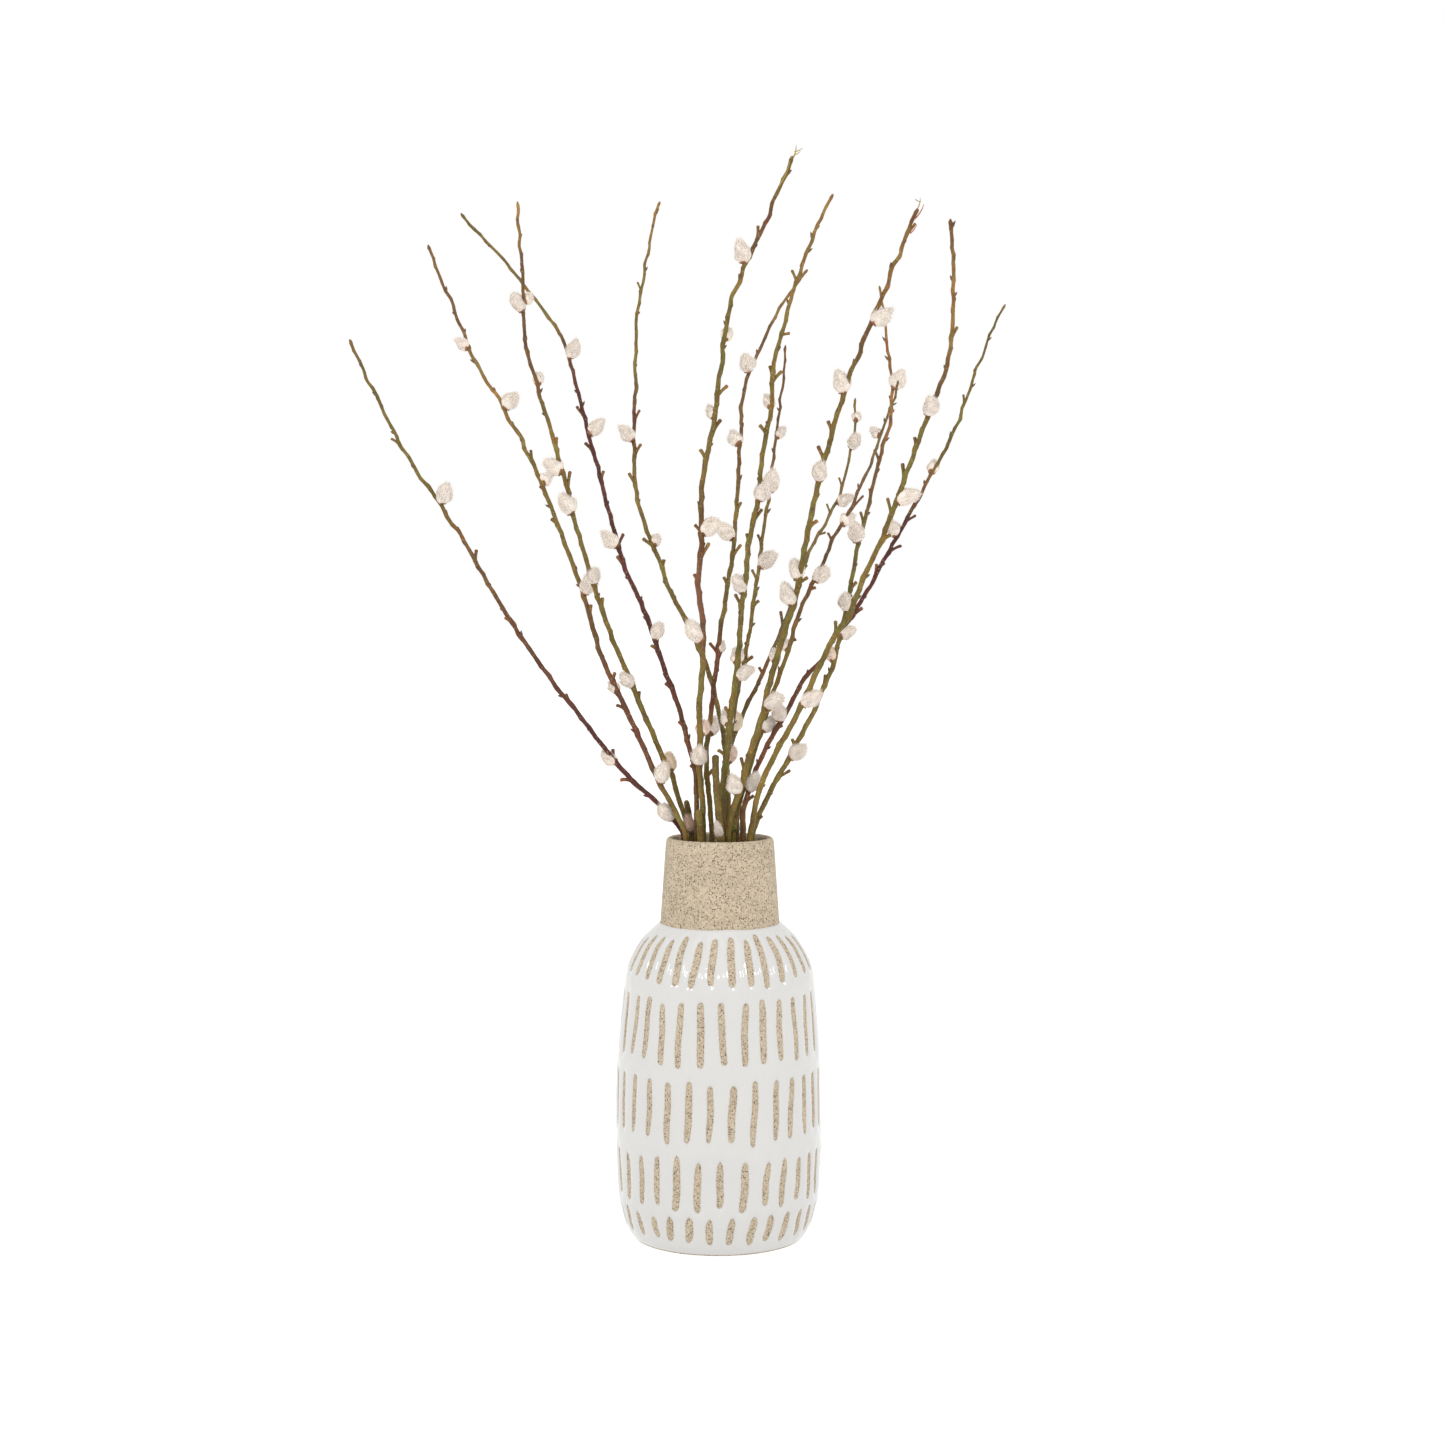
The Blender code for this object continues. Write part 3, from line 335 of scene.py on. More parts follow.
            (114.5, 507.4), (121.9, 522.3), (127.6, 539.3), (133.8, 554.1), (138.4, 568.9), (144.7, 583.6),
            (146.4, 590.4), (155.5, 613.1), (161.5, 629.5), (167.3, 643.1), (169.2, 651), (172.1, 667.9),
            (173.5, 691.6), (173.3, 707.3), (173.7, 723.1), (171.4, 750.1), (171.1, 757.4)],
        catkins=[(398.5, 15, 9.5, -3), (549.5, 17.5, 6, -2), (613, 2, 13, -8)],
        twigs=[(452, 0, 9, 3), (521, 6.5, 4, 0), (541, -3, 11, 0), (567, -1.5, 10.5, 0), (590, -1, 7, 0),
            (671, 4, 7, 0)]),
    "stem_15": dict(
        rim=(17.6, -9), depth=(-18, -42), width=(3.7, 1.3),
        bark=[(300, "brown"), (330, "red"), (435, "purple"), (545, "brown"), (580, "green")],
        route=[(17.7, 304), (18.2, 320), (27.3, 349), (38.9, 373.6), (48.6, 389.7), (57.2, 405.7),
            (60.6, 413.8), (69.8, 425.3), (76.6, 431), (84, 445), (91, 455.5), (99.7, 464.2), (106, 476.7),
            (114, 488.1), (116.3, 494.9), (124.3, 508.6), (131.7, 522.3), (139.1, 534.8), (144.8, 547.3),
            (149.4, 551.8), (152.2, 559.8), (160.8, 575.7), (168.8, 588.2), (171.6, 596.1), (178.9, 610.8),
            (180.6, 618.8), (187.5, 636), (189.2, 645.4), (195.1, 655.5), (199.1, 669), (204.1, 680.3),
            (211.8, 695)],
        catkins=[(334.5, 6, 14, -7), (386, -1, 15, -4), (523.5, -6, 13, 3), (570.5, 3, 10, 9)],
        twigs=[(326, 6.5, 5, 0), (381, 4.5, 2.5, 0), (467, 6, 4, 0), (496, 0.5, 7.5, 0),
            (511.5, 10, 5.5, 0), (535.5, 7, 4, 0), (621.5, -0.5, 7, 0)]),
}

# Thick stems cut off low above the rim, as rows of the same kind
CUT_STEMS = {
    "cut_stem_1": dict(
        rim=(-21, 18), depth=(18.5, 19), width=(4.5, 4.2), bark=[(300, "dark")],
        route=[(-20.5, 304), (-21.8, 316), (-24.3, 327.5)], catkins=[], twigs=[]),
    "cut_stem_2": dict(
        rim=(-14, -20), depth=(-21, -21.5), width=(4.9, 4.6), bark=[(300, "olive")],
        route=[(-13.6, 304), (-14, 312), (-15.2, 320.5)], catkins=[], twigs=[]),
    "cut_stem_3": dict(
        rim=(2, -24), depth=(-24, -24), width=(5.0, 4.7), bark=[(300, "dark")],
        route=[(1.6, 304), (0.3, 314), (-1.6, 338), (-2.4, 361.5)], catkins=[(299, -3.8, 13, -4, 0.21)],
        twigs=[]),
    "cut_stem_4": dict(
        rim=(13.3, 9), depth=(9.5, 10), width=(4.1, 3.9), bark=[(300, "dark")],
        route=[(13.4, 304), (13.5, 315), (13.2, 326)], catkins=[], twigs=[]),
    "cut_stem_5": dict(
        rim=(18.5, 18), depth=(18.5, 19), width=(4.6, 4.3), bark=[(300, "dark")],
        route=[(18.3, 304), (18.2, 314), (17.8, 323.6)], catkins=[], twigs=[]),
}
ALL_STEMS = {**STEMS, **CUT_STEMS}


def linear(hex_colour):
    """Turn an sRGB hex colour into linear red, green and blue."""
    values = np.array([int(hex_colour[at:at + 2], 16) for at in (1, 3, 5)]) / 255
    return np.where(values <= 0.04045, values / 12.92, ((values + 0.055) / 1.055) ** 2.4)


def opaque(hex_colour):
    """Linear colour with alpha, as a shader socket takes it."""
    return (*linear(hex_colour), 1.0)


def unit(vectors):
    """Scale vectors to length one, along the last axis."""
    return vectors / np.linalg.norm(vectors, axis=-1, keepdims=True)


def soft_route(corners, step, blur):
    """A soft path through corners: points every step, each the bell-weighted mean of its neighbours.

    The path is mirrored through its end points first, so both ends stay where they are.
    """
    corners = np.asarray(corners, float)
    reach = np.concatenate([[0], np.cumsum(np.linalg.norm(np.diff(corners, axis=0), axis=1))])
    along = np.linspace(0, reach[-1], max(int(np.ceil(reach[-1] / step)) + 1, 4))
    even = np.stack([np.interp(along, reach, column) for column in corners.T], axis=1)
    spacing = along[1]
    half = min(int(np.ceil(3 * blur / spacing)), len(along) - 1)
    bell = np.exp(-0.5 * (np.arange(-half, half + 1) * spacing / blur) ** 2)
    bell /= bell.sum()
    before = 2 * even[0] - even[half:0:-1]
    after = 2 * even[-1] - even[-2:-half - 2:-1]
    padded = np.concatenate([before, even, after])
    soft = np.stack([np.convolve(column, bell, "valid") for column in padded.T], axis=1)
    return along, soft


def closed_skin(rings, tones, finish=0):
    """Close a stack of rings: four-sided faces between neighbours, and a fan to each end's middle.

    The tones are a colour for each ring, or one for all."""
    count, sides = rings.shape[:2]
    tones = np.broadcast_to(tones, (count, 3))
    points = np.concatenate([rings.reshape(-1, 3), rings[:1].mean(axis=1), rings[-1:].mean(axis=1)])
    colours = np.concatenate([np.repeat(tones, sides, axis=0), tones[:1], tones[-1:]])
    side = np.arange(sides)
    following = (side + 1) % sides
    base = np.arange(count - 1)[:, None] * sides
    quads = np.stack(
        [base + side, base + following, base + sides + following, base + sides + side], axis=-1)
    foot = np.stack([following, side, np.full(sides, count * sides)], axis=-1)
    top = (count - 1) * sides
    head = np.stack([top + side, top + following, np.full(sides, count * sides + 1)], axis=-1)
    return dict(points=points, quads=quads.reshape(-1, 4), triangles=np.concatenate([foot, head]),
                tones=colours, finish=finish)


def per_face(skins, value_of):
    """One value for each face: all skins' four-sided faces, and then all their triangles."""
    return np.concatenate([np.full(len(skin[kind]), value_of(skin))
                           for kind in ("quads", "triangles") for skin in skins])


def put_in_mesh(name, skins, finishes, layers=None):
    """Join skins into one object: their points, faces, finish numbers and tones, set as whole arrays.

    A skin marked flat, as hair is, is shaded face by face, and the others smoothly."""
    starts = np.cumsum([0] + [len(skin["points"]) for skin in skins])
    points = np.concatenate([skin["points"] for skin in skins])
    quads = np.concatenate([skin["quads"] + at for skin, at in zip(skins, starts)])
    triangles = np.concatenate([skin["triangles"] + at for skin, at in zip(skins, starts)])
    finish = per_face(skins, lambda skin: skin["finish"])
    corners = np.concatenate([quads.ravel(), triangles.ravel()]).astype(np.int32)
    loops = np.concatenate([np.full(len(quads), 4), np.full(len(triangles), 3)])
    mesh = bpy.data.meshes.new(name)
    mesh.vertices.add(len(points))
    mesh.vertices.foreach_set("co", points.astype(np.float32).ravel())
    mesh.loops.add(len(corners))
    mesh.loops.foreach_set("vertex_index", corners)
    mesh.polygons.add(len(loops))
    mesh.polygons.foreach_set("loop_start", (np.cumsum(loops) - loops).astype(np.int32))
    mesh.polygons.foreach_set("material_index", finish.astype(np.int32))
    mesh.update(calc_edges=True)
    tones = np.concatenate([skin["tones"] for skin in skins])
    colour = mesh.color_attributes.new("tone", "FLOAT_COLOR", "POINT")
    colour.data.foreach_set("color", np.insert(tones, 3, 1.0, axis=1).astype(np.float32).ravel())
    for label, values in (layers or {}).items():
        layer = mesh.attributes.new(label, "FLOAT", "POINT")
        layer.data.foreach_set("value", values.astype(np.float32))
    mesh.validate()
    mesh.polygons.foreach_set("use_smooth", per_face(skins, lambda skin: "flat" not in skin))
    for material in finishes:
        mesh.materials.append(material)
    made = bpy.data.objects.new(name, mesh)
    bpy.context.scene.collection.objects.link(made)
    return made


def full_turn(sides):
    """Evenly spaced angles once round."""
    return 2 * math.pi * np.arange(sides) / sides


def ring_stack(centres, radii, across, along, sides):
    """Rings about centres: centre + radius * (across * cos + along * sin), evenly round each one.

    The two directions are given for each ring, or once for all."""
    angles = full_turn(sides)
    across, along = np.atleast_2d(across, along)
    spoke = (across[:, None] * np.cos(angles)[None, :, None]
             + along[:, None] * np.sin(angles)[None, :, None])
    radii = np.asarray(radii, float)
    radii = radii[:, None, None] if radii.ndim == 1 else radii[:, :, None]
    return centres[:, None] + spoke * radii


def side_axes(headings):
    """Two unit directions square to each heading, from the world's back axis, or up where that is near."""
    headings = np.atleast_2d(headings)
    near_back = np.abs(headings[:, 1:2]) > 0.9
    guide = np.where(near_back, (0.0, 0.0, 1.0), (0.0, 1.0, 0.0))
    across = unit(np.cross(guide, headings))
    return across, np.cross(headings, across)


def fill_node(tree, node, settings):
    """Fill in a node: a socket is joined to the input of that name, and any other value is set."""
    for key, value in settings.items():
        if isinstance(value, bpy.types.NodeSocket):
            tree.links.new(value, node.inputs[key])
        elif isinstance(key, str) and hasattr(node, key):
            setattr(node, key, value)
        else:
            node.inputs[key].default_value = value
    return node


def add_node(tree, kind, settings):
    """Add one node and fill it in."""
    return fill_node(tree, tree.nodes.new(kind), settings)


def new_material(name):
    """A material with its node tree and each point's place on its object."""
    material = bpy.data.materials.new(name)
    material.use_nodes = True
    place = add_node(material.node_tree, "ShaderNodeTexCoord", {}).outputs["Object"]
    return material, material.node_tree, place


def shaded(material, inputs):
    """Fill in the material's shader."""
    fill_node(material.node_tree, material.node_tree.nodes["Principled BSDF"], inputs)
    return material


def own_layer(tree, label, output):
    """A value or colour that the mesh carries."""
    return add_node(tree, "ShaderNodeAttribute", {"attribute_name": label}).outputs[output]


def noise(tree, place, scale, detail):
    """Soft random clouds."""
    settings = {"Scale": scale, "Detail": detail, "Vector": place}
    return add_node(tree, "ShaderNodeTexNoise", settings).outputs["Fac"]


def cells(tree, place, scale):
    """Random cells, each with the distance to its middle and a colour of its own."""
    return add_node(tree, "ShaderNodeTexVoronoi", {"Scale": scale, "Vector": place}).outputs


def mapped(tree, value, before, after=(0.0, 1.0), kind="LINEAR"):
    """Carry a value from one range over to another, and hold it at the ends."""
    return add_node(tree, "ShaderNodeMapRange", {
        "interpolation_type": kind, "Value": value, "From Min": before[0], "From Max": before[1],
        "To Min": after[0], "To Max": after[1]}).outputs["Result"]


def product(tree, first, second):
    """Two values multiplied."""
    return add_node(tree, "ShaderNodeMath", {"operation": "MULTIPLY", 0: first, 1: second}).outputs[0]


def scaled(tree, colour, share):
    """A colour made brighter or darker."""
    settings = {"operation": "SCALE", 0: colour, "Scale": share}
    return add_node(tree, "ShaderNodeVectorMath", settings).outputs[0]


def blend(tree, share, first, second):
    """The first colour at share 0 and the second at share 1."""
    settings = {"data_type": "RGBA", 0: share, 6: first, 7: second}
    return add_node(tree, "ShaderNodeMix", settings).outputs[2]


def ramp(tree, value, colours, places):
    """Two colours run into each other from one value to another."""
    made = add_node(tree, "ShaderNodeValToRGB", {"Fac": value})
    for stop, colour, position in zip(made.color_ramp.elements, colours, places):
        stop.position = position
        stop.color = colour
    return made.outputs["Color"]


def relief(tree, height, strength, distance, sunk=False):
    """Fine ups and downs of the surface, too small for faces."""
    return add_node(tree, "ShaderNodeBump", {
        "Strength": strength, "Distance": distance, "invert": sunk, "Height": height}).outputs["Normal"]


# The vase


def radius_first(rows):
    """Turn rows of height and radius into points of radius and height."""
    return np.array(rows, float)[:, ::-1]


def vase_path(blur):
    """The turned outline from the foot's middle to the floor's middle, as radius and height.

    Also gives the length run along the body's side, which is -1 on the foot and grows on past the
    neck's foot, so that it tells the glazed part from the bare one, and its value at the neck's foot.
    """
    foot = np.array([(18.0, 0), (40, 0), (54, 0), (60, 0), (62.5, 0)])
    run, body = soft_route(radius_first(BODY_SIDE), BODY_STEP, blur)
    neck_run, neck = soft_route(radius_first(NECK_SIDE), NECK_STEP, NECK_BLUR)
    lip_run, lip = soft_route(radius_first(LIP), LIP_STEP, LIP_BLUR)
    inner = soft_route(radius_first(INSIDE), INSIDE_STEP, INSIDE_BLUR)[1]
    floor = np.array([(44.0, FLOOR_HEIGHT), (20, FLOOR_HEIGHT), (6, FLOOR_HEIGHT)])
    path = np.concatenate([foot, body, neck[1:], lip[1:], inner[1:], floor])
    beyond = run[-1] + np.concatenate([neck_run[1:], neck_run[-1] + lip_run[1:]])
    bare = np.full(len(inner) - 1 + len(floor), beyond[-1] + 50)
    length = np.concatenate([np.full(len(foot), -1.0), run, beyond, bare])
    return path, length, run[-1]


def dash_field(length, turn, radius):
    """How deep each point lies inside a bare dash, in millimetres; negative outside all dashes.

    A dash is a thick stroke: its half width less the distance to its wandering middle line, and
    beyond its ends the distance to the end point. The half width has short random waves of its own
    on each side, and narrows towards both ends by a share drawn for each end.
    """
    draw = np.random.default_rng(DASH_SEED)
    heights, radii = np.array(BODY_SIDE, float).T
    steps = np.hypot(np.diff(heights), np.diff(radii))
    run_at = np.concatenate([[0], np.cumsum(steps)])
    field = np.full(length.shape, FAR_FROM_DASHES)
    for width, tapers, dashes in DASH_ROWS:
        for number, (angle, lean, low, high) in enumerate(dashes + dashes):
            half_turn = 180.0 if number >= len(dashes) else 0.0
            phase = draw.uniform(0, 2 * math.pi, 6)
            low_run, high_run = np.interp((low, high), heights, run_at)
            share = (length - low_run) / (high_run - low_run)
            wander = 0.42 * np.sin(4.8 * share + phase[0]) + 0.18 * np.sin(9.5 * share + phase[1])
            middle = np.radians(angle + half_turn + lean * (share - 0.5))
            aside = (turn - middle + math.pi) % (2 * math.pi) - math.pi
            sideways = aside * radius - wander
            side = np.where(sideways > 0, phase[2], phase[3])
            ragged = 0.16 * np.sin(length * 1.25 + side) + 0.13 * np.sin(length * 2.1 + 2 * side)
            half = 0.5 * width * draw.uniform(0.88, 1.06)
            ends = np.array(tapers) + draw.uniform(-0.12, 0.12, 2)
            foot = np.clip((DASH_TAPER - share) / DASH_TAPER, 0, 1)
            head = np.clip((share - (1 - DASH_TAPER)) / DASH_TAPER, 0, 1)
            narrow = 1 - ends[0] * foot ** 2 - ends[1] * head ** 2
            spare = np.abs(length - 0.5 * (low_run + high_run)) - (0.5 * (high_run - low_run) - half)
            past = np.maximum(spare, 0.0) * narrow
            inside = half * narrow + ragged * narrow - np.hypot(sideways, past)
            field = np.maximum(field, inside)
    return field


def make_vase(sizes, finish):
    """The vase as one turned skin: radius and height follow the outline, moved along the outline's
    normal by the glaze. The glaze is 0 in a dash and rises to its full depth with
    1 - exp(-distance / softness), so the bands between dashes are gently domed. Slow waves add its
    puddles, and a bell its thick upper edge."""
    path, length, top = vase_path(sizes.shoulder_blur / MM)
    turn = full_turn(sizes.columns)
    slope = unit(np.gradient(path, axis=0))
    outward = np.stack([slope[:, 1], -slope[:, 0]], axis=1)
    run = np.broadcast_to(length[:, None], (len(path), sizes.columns))
    around = np.broadcast_to(turn[None, :], run.shape)
    field = dash_field(run, around, path[:, :1])
    edge = top - GLAZE_TOP_GAP + 0.3 * np.sin(5 * around + 1.0) + 0.22 * np.sin(9 * around)
    above = run - edge
    below = GLAZE_FOOT_GAP - run
    on_body = (run >= 0) & (run <= top)
    depth = sizes.glaze_depth / MM
    away = np.maximum(-field, 0.0)
    coat = depth * (1 - np.exp(-away / (sizes.edge_softness / MM)))
    puddle = PUDDLE * depth * (
        np.sin(7 * around + run / 9) + np.sin(11 * around - run / 14 + 2.0)
        + 0.8 * np.sin(19 * around + run / 6.5) * np.sin(run / 5.2 - 8 * around))
    bead = BEAD * depth * np.exp(-((above + 1.6) / 1.2) ** 2)
    fade = np.clip((top - run) / 6.0, 0, 1) * np.clip(run / 4.0, 0, 1)
    lift = np.where(on_body, (coat - depth + puddle * (coat / depth)) * fade + bead, 0.0)
    moved = path[:, None, :] + outward[:, None, :] * lift[:, :, None]
    shift = np.interp(moved[..., 1], *np.array(NECK_SHIFT).T)
    rings = np.stack(
        [moved[..., 0] * np.sin(turn) + shift, -moved[..., 0] * np.cos(turn), moved[..., 1]], axis=-1)
    skin = closed_skin(rings * MM, WHITE[:3])
    bare = np.maximum(np.maximum(field, above), below)
    layer = np.concatenate([bare.ravel(), [WELL_BARE, WELL_BARE]])
    made = put_in_mesh("stoneware_vase", [skin], [finish], {"bare_clay": layer})
    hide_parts("vase")
    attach(made, "root")


def glazed_stoneware(look):
    """Glazed stoneware, thrown and brushed: a thick glossy white glaze that pools softly, over
    speckled sandy clay that shows in the dashes and on the neck, where it is matt and gritty."""
    material, tree, place = new_material("glazed_stoneware")
    depth = own_layer(tree, "bare_clay", "Fac")
    # The glaze thins out over 0.4 mm at the edge of a dash
    bare = mapped(tree, depth, (-0.25, 0.2), kind="SMOOTHSTEP")
    thin = mapped(tree, depth, (-1.0, 0.0), (0.0, 0.26), "SMOOTHSTEP")
    # Sand grains are 0.3 to 0.8 mm, drawn at 0.9 to 1.3 mm so that they show at this distance
    grains = cells(tree, place, 1150.0)
    specks = cells(tree, place, 760.0)
    chosen = add_node(tree, "ShaderNodeSeparateColor", {"Color": specks["Color"]}).outputs["Red"]
    sand = ramp(tree, grains["Color"], (opaque("#927f65"), opaque("#e4d5ba")), (0.0, 1.0))
    warm = blend(tree, 0.35, sand, (*look.clay, 1.0))
    patch = mapped(tree, noise(tree, place, 60.0, 3.0), (0.35, 0.65), (0.79, 0.88))
    clouded = scaled(tree, warm, patch)
    dark_grain = mapped(tree, chosen, (0.47, 0.83), (0.0, 0.9))
    speck = product(tree, dark_grain, mapped(tree, specks["Distance"], (0.50, 0.34)))
    speckled = blend(tree, speck, clouded, opaque("#4c4236"))
    # The clay is painted darker in a thin line, 0.5 mm wide, along the edge of the bare clay: painted shade
    # where the thick glaze's edge stands over the dash
    painted_edge_shade = mapped(tree, depth, (0.7, 0.1), (0.0, 0.36), "SMOOTHSTEP")
    clay = blend(tree, painted_edge_shade, speckled, opaque("#7a6547"))
    milk = blend(tree, noise(tree, place, 25.0, 2.0), (*look.glaze, 1.0), opaque("#c3c2c0"))
    # Rare iron pinholes in the glaze, about 0.7 mm and 60 mm apart
    pin = mapped(tree, cells(tree, place, 45.0)["Distance"], (0.035, 0.015), (0.0, 0.5))
    pinned = blend(tree, pin, milk, opaque("#8a8074"))
    colour = blend(tree, bare, blend(tree, thin, pinned, clay), clay)
    gloss = mapped(tree, bare, (0.0, 1.0), (look.glaze_roughness, 0.85))
    grit = product(tree, grains["Distance"], bare)
    return shaded(material, {
        "Base Color": colour, "Roughness": gloss, "IOR": 1.5,
        "Normal": relief(tree, grit, 0.6, 0.0003, sunk=True)})


# The stems


def to_depth(right, up, back):
    """Move front-view points along their sight lines to the given distances behind the axis."""
    right, up, back = np.broadcast_arrays(
        np.asarray(right, float), np.asarray(up, float), np.asarray(back, float))
    seen = np.stack([right, np.zeros_like(right), up], axis=-1) * MM
    return EYE + (seen - EYE) * (1 - back * MM / EYE[1])[..., None]


def depth_at(row, height):
    """Distance behind the axis at heights: a parabola through the rim, half-way and tip values."""
    share = (np.asarray(height, float) - RIM_HEIGHT) / (row["route"][-1][1] - RIM_HEIGHT)
    start = row["rim"][1]
    middle, end = row["depth"]
    bend = 4 * middle - 3 * start - end
    return start + bend * share + (end - start - bend) * share ** 2


def front_place(row, height):
    """Place on the route at a front-view height."""
    rights, ups = np.array(row["route"]).T
    return to_depth(np.interp(height, ups, rights), height, depth_at(row, height))


def stem_radius(row, height):
    """Radius in metres: nearly even inside the vase, then thinning toward the tip."""
    share = np.maximum(0.0, (np.asarray(height, float) - RIM_HEIGHT)
                       / (row["route"][-1][1] - RIM_HEIGHT))
    at_rim, at_tip = row["width"]
    return 0.5 * MM * (at_rim + (at_tip - at_rim) * share ** 0.9)


def stem_corners(row):
    """The stem's corner points and their front-view heights, from its cut foot to its tip."""
    neck = complex(*row["rim"]) * NECK_DRAW
    foot = neck * FOOT_SPREAD * complex(math.cos(FOOT_TURN), math.sin(FOOT_TURN))
    inside = np.array([(foot.real, foot.imag, STEM_FOOT), (neck.real, neck.imag, NECK_HEIGHT)]) * MM
    rights, ups = np.array(row["route"]).T
    points = np.concatenate([inside, to_depth(rights, ups, depth_at(row, ups))])
    return points, np.concatenate([[STEM_FOOT, NECK_HEIGHT], ups])


def solid_buds():
    """The solids' own buds, drawn as the part's source draws them: height and direction by stem."""
    draw = random.Random(SEED)
    found = {}
    for name, row in STEMS.items():
        taken = [spec[0] for spec in row["catkins"] + row["twigs"]]
        free = [place[1] for place in row["route"][2:-1]
                if all(abs(place[1] - height) > BUD_CLEARANCE for height in taken)]
        rows = []
        for height in draw.sample(free, min(BUDS_PER_STEM, len(free))):
            foot = front_place(row, height)
            heading = Vector(front_place(row, height + 2) - foot).normalized()
            side = heading.orthogonal().normalized()
            side = Matrix.Rotation(draw.uniform(0, 2 * math.pi), 3, heading) @ side
            rows.append((height, np.array(heading * math.cos(BUD_LEAN) + side * math.sin(BUD_LEAN))))
        found[name] = rows
    return found


def bark_tones(row, heights, draw):
    """Bark colour along a stem: the named colours run into each other over 30 mm, with slow
    random changes of brightness and of warmth on top."""
    starts = np.array([height for height, name in row["bark"]], float)
    colours = np.array([linear(BARK[name]) for height, name in row["bark"]])
    changes = np.repeat(starts[1:], 2) + np.tile((-COLOUR_RUN, COLOUR_RUN), len(starts) - 1)
    stops = np.concatenate([[starts[0] - 400], changes, [starts[-1] + 600]])
    painted = np.repeat(colours, 2, axis=0)
    tone = np.stack([np.interp(heights, stops, channel) for channel in painted.T], axis=1)
    slow = np.interp(heights, np.arange(0, 900, 9), draw.uniform(*BARK_BRIGHTNESS, 100))
    warmth = np.interp(heights, np.arange(0, 900, 13), draw.uniform(-1, 1, 70))
    return tone * slow[:, None] * (1 + np.outer(warmth, WARMTH))


def stem_skin(row, knots, tapered, draw):
    """The bare stem: rings along its soft path. The radius swells by a bell at every knot and
    ripples slightly, each ring is a little three-cornered, as a twig's is, and low scars stand out
    on one side every 5 to 9 mm, where the stem also turns a little; both are weaker near the rim.
    The bark is up to a quarter thicker than the solid's core."""
    corners, corner_heights = stem_corners(row)
    along, path = soft_route(corners / MM, STEM_STEP, STEM_BLUR)
    reach = np.concatenate([[0], np.cumsum(np.linalg.norm(np.diff(corners / MM, axis=0), axis=1))])
    inside = reach[1]
    near_tip = along[-1] - np.array([5.0, 4.0, 3.0, 2.0, 1.2, 0.5, 0.1])
    places = np.concatenate([np.arange(0, inside, RING_GAP_INSIDE),
                             np.arange(inside, along[-1] - 6, RING_GAP), near_tip])
    centres = np.stack([np.interp(places, along, column) for column in path.T], axis=1)
    heights = np.interp(places, reach, corner_heights)
    radii = stem_radius(row, heights) / MM * np.interp(heights, *np.array(BARK_SHARE).T)
    knots = np.asarray(knots, float)
    bells = KNOT_SWELL * np.exp(-((heights[:, None] - knots) / KNOT_REACH) ** 2)
    swell = 1 + bells.sum(axis=1).clip(0, MOST_SWELL)
    phase = draw.uniform(0, 6.28, 3)
    swell += 0.045 * np.sin(heights * 0.62 + phase[0]) + 0.035 * np.sin(heights * 1.45 + phase[1])
    left = along[-1] - places
    tip = np.interp(left, [0, 0.5, 1.2, 2, 3, 4, 5.5], [0.25, 0.5, 0.8, 1.05, 1.22, 1.12, 1.0])
    blunt = np.interp(left, [0.1, 0.5, 1.2, 2, 3], [0.28, 0.60, 0.86, 0.98, 1.0])
    radii = radii * swell * (tip if tapered else blunt)
    heading = unit(np.gradient(centres, axis=0))
    across, upright = side_axes(heading)
    angle = full_turn(STEM_SIDES)
    corner = 1 + 0.045 * np.sin(3 * angle[None, :] + heights[:, None] / 17 + phase[2])
    scars = np.cumsum(draw.uniform(5, 9, SCARS)) + RIM_HEIGHT
    scar_turns = np.arange(SCARS) * TWIG_TURN + draw.uniform(-0.4, 0.4, SCARS)
    near_scar = np.exp(-((heights[:, None] - scars) / SCAR_REACH) ** 2)
    facing = np.clip(np.cos(angle[:, None] - scar_turns), 0, 1) ** 2
    rough = np.interp(heights, *ROUGHNESS)
    corner = corner + (SCAR_DEPTH * rough / radii)[:, None] * (near_scar @ facing.T)
    kinks = [KINK * rough * np.interp(heights, scars, wave(scar_turns)) for wave in (np.cos, np.sin)]
    centres = centres + across * kinks[0][:, None] + upright * kinks[1][:, None]
    rings = ring_stack(centres * MM, radii[:, None] * corner * MM, across, upright, STEM_SIDES)
    return closed_skin(rings, bark_tones(row, heights, draw))


def way_to(right, up, back):
    """An offset given in millimetres, as its heading, its length and itself in metres."""
    offset = np.array((right, back, up)) * MM
    length = np.linalg.norm(offset)
    return offset / length, length, offset


def stub_skin(row, spec, draw):
    """A cut side twig: its radius flares at the root, thins, then swells before its blunt end,
    and its middle line bows slightly upward."""
    height = spec[0]
    foot = front_place(row, height)
    heading, length, offset = way_to(*spec[1:])
    radius = min(1.4 * MM, float(stem_radius(row, height)) * 1.05)
    share = np.array([0, 0.16, 0.3, 0.5, 0.7, 0.84, 0.93, 0.985, 1.0])
    shape = np.array([1.25, 1.12, 0.98, 0.90, 0.93, 1.03, 0.98, 0.72, 0.32]) * draw.uniform(0.9, 1.06)
    across, upright = side_axes(heading)
    bow = np.cross(heading, np.cross((0, 0, 1.0), heading)) * length * draw.uniform(-0.05, 0.09)
    centres = foot + offset * share[:, None] + bow * (share * (1 - share) * 4)[:, None]
    rings = ring_stack(centres, radius * shape, across, upright, STUB_SIDES)
    bark = bark_tones(row, np.full(len(share), height), draw)
    end = linear(BARK[("red", "brown", "orange", "ochre")[int(draw.integers(4))]])
    mix = np.interp(share, [0.2, 0.9], [0.05, 0.6])[:, None]
    return closed_skin(rings, bark * (1 - mix) + end * mix * draw.uniform(0.8, 1.1))


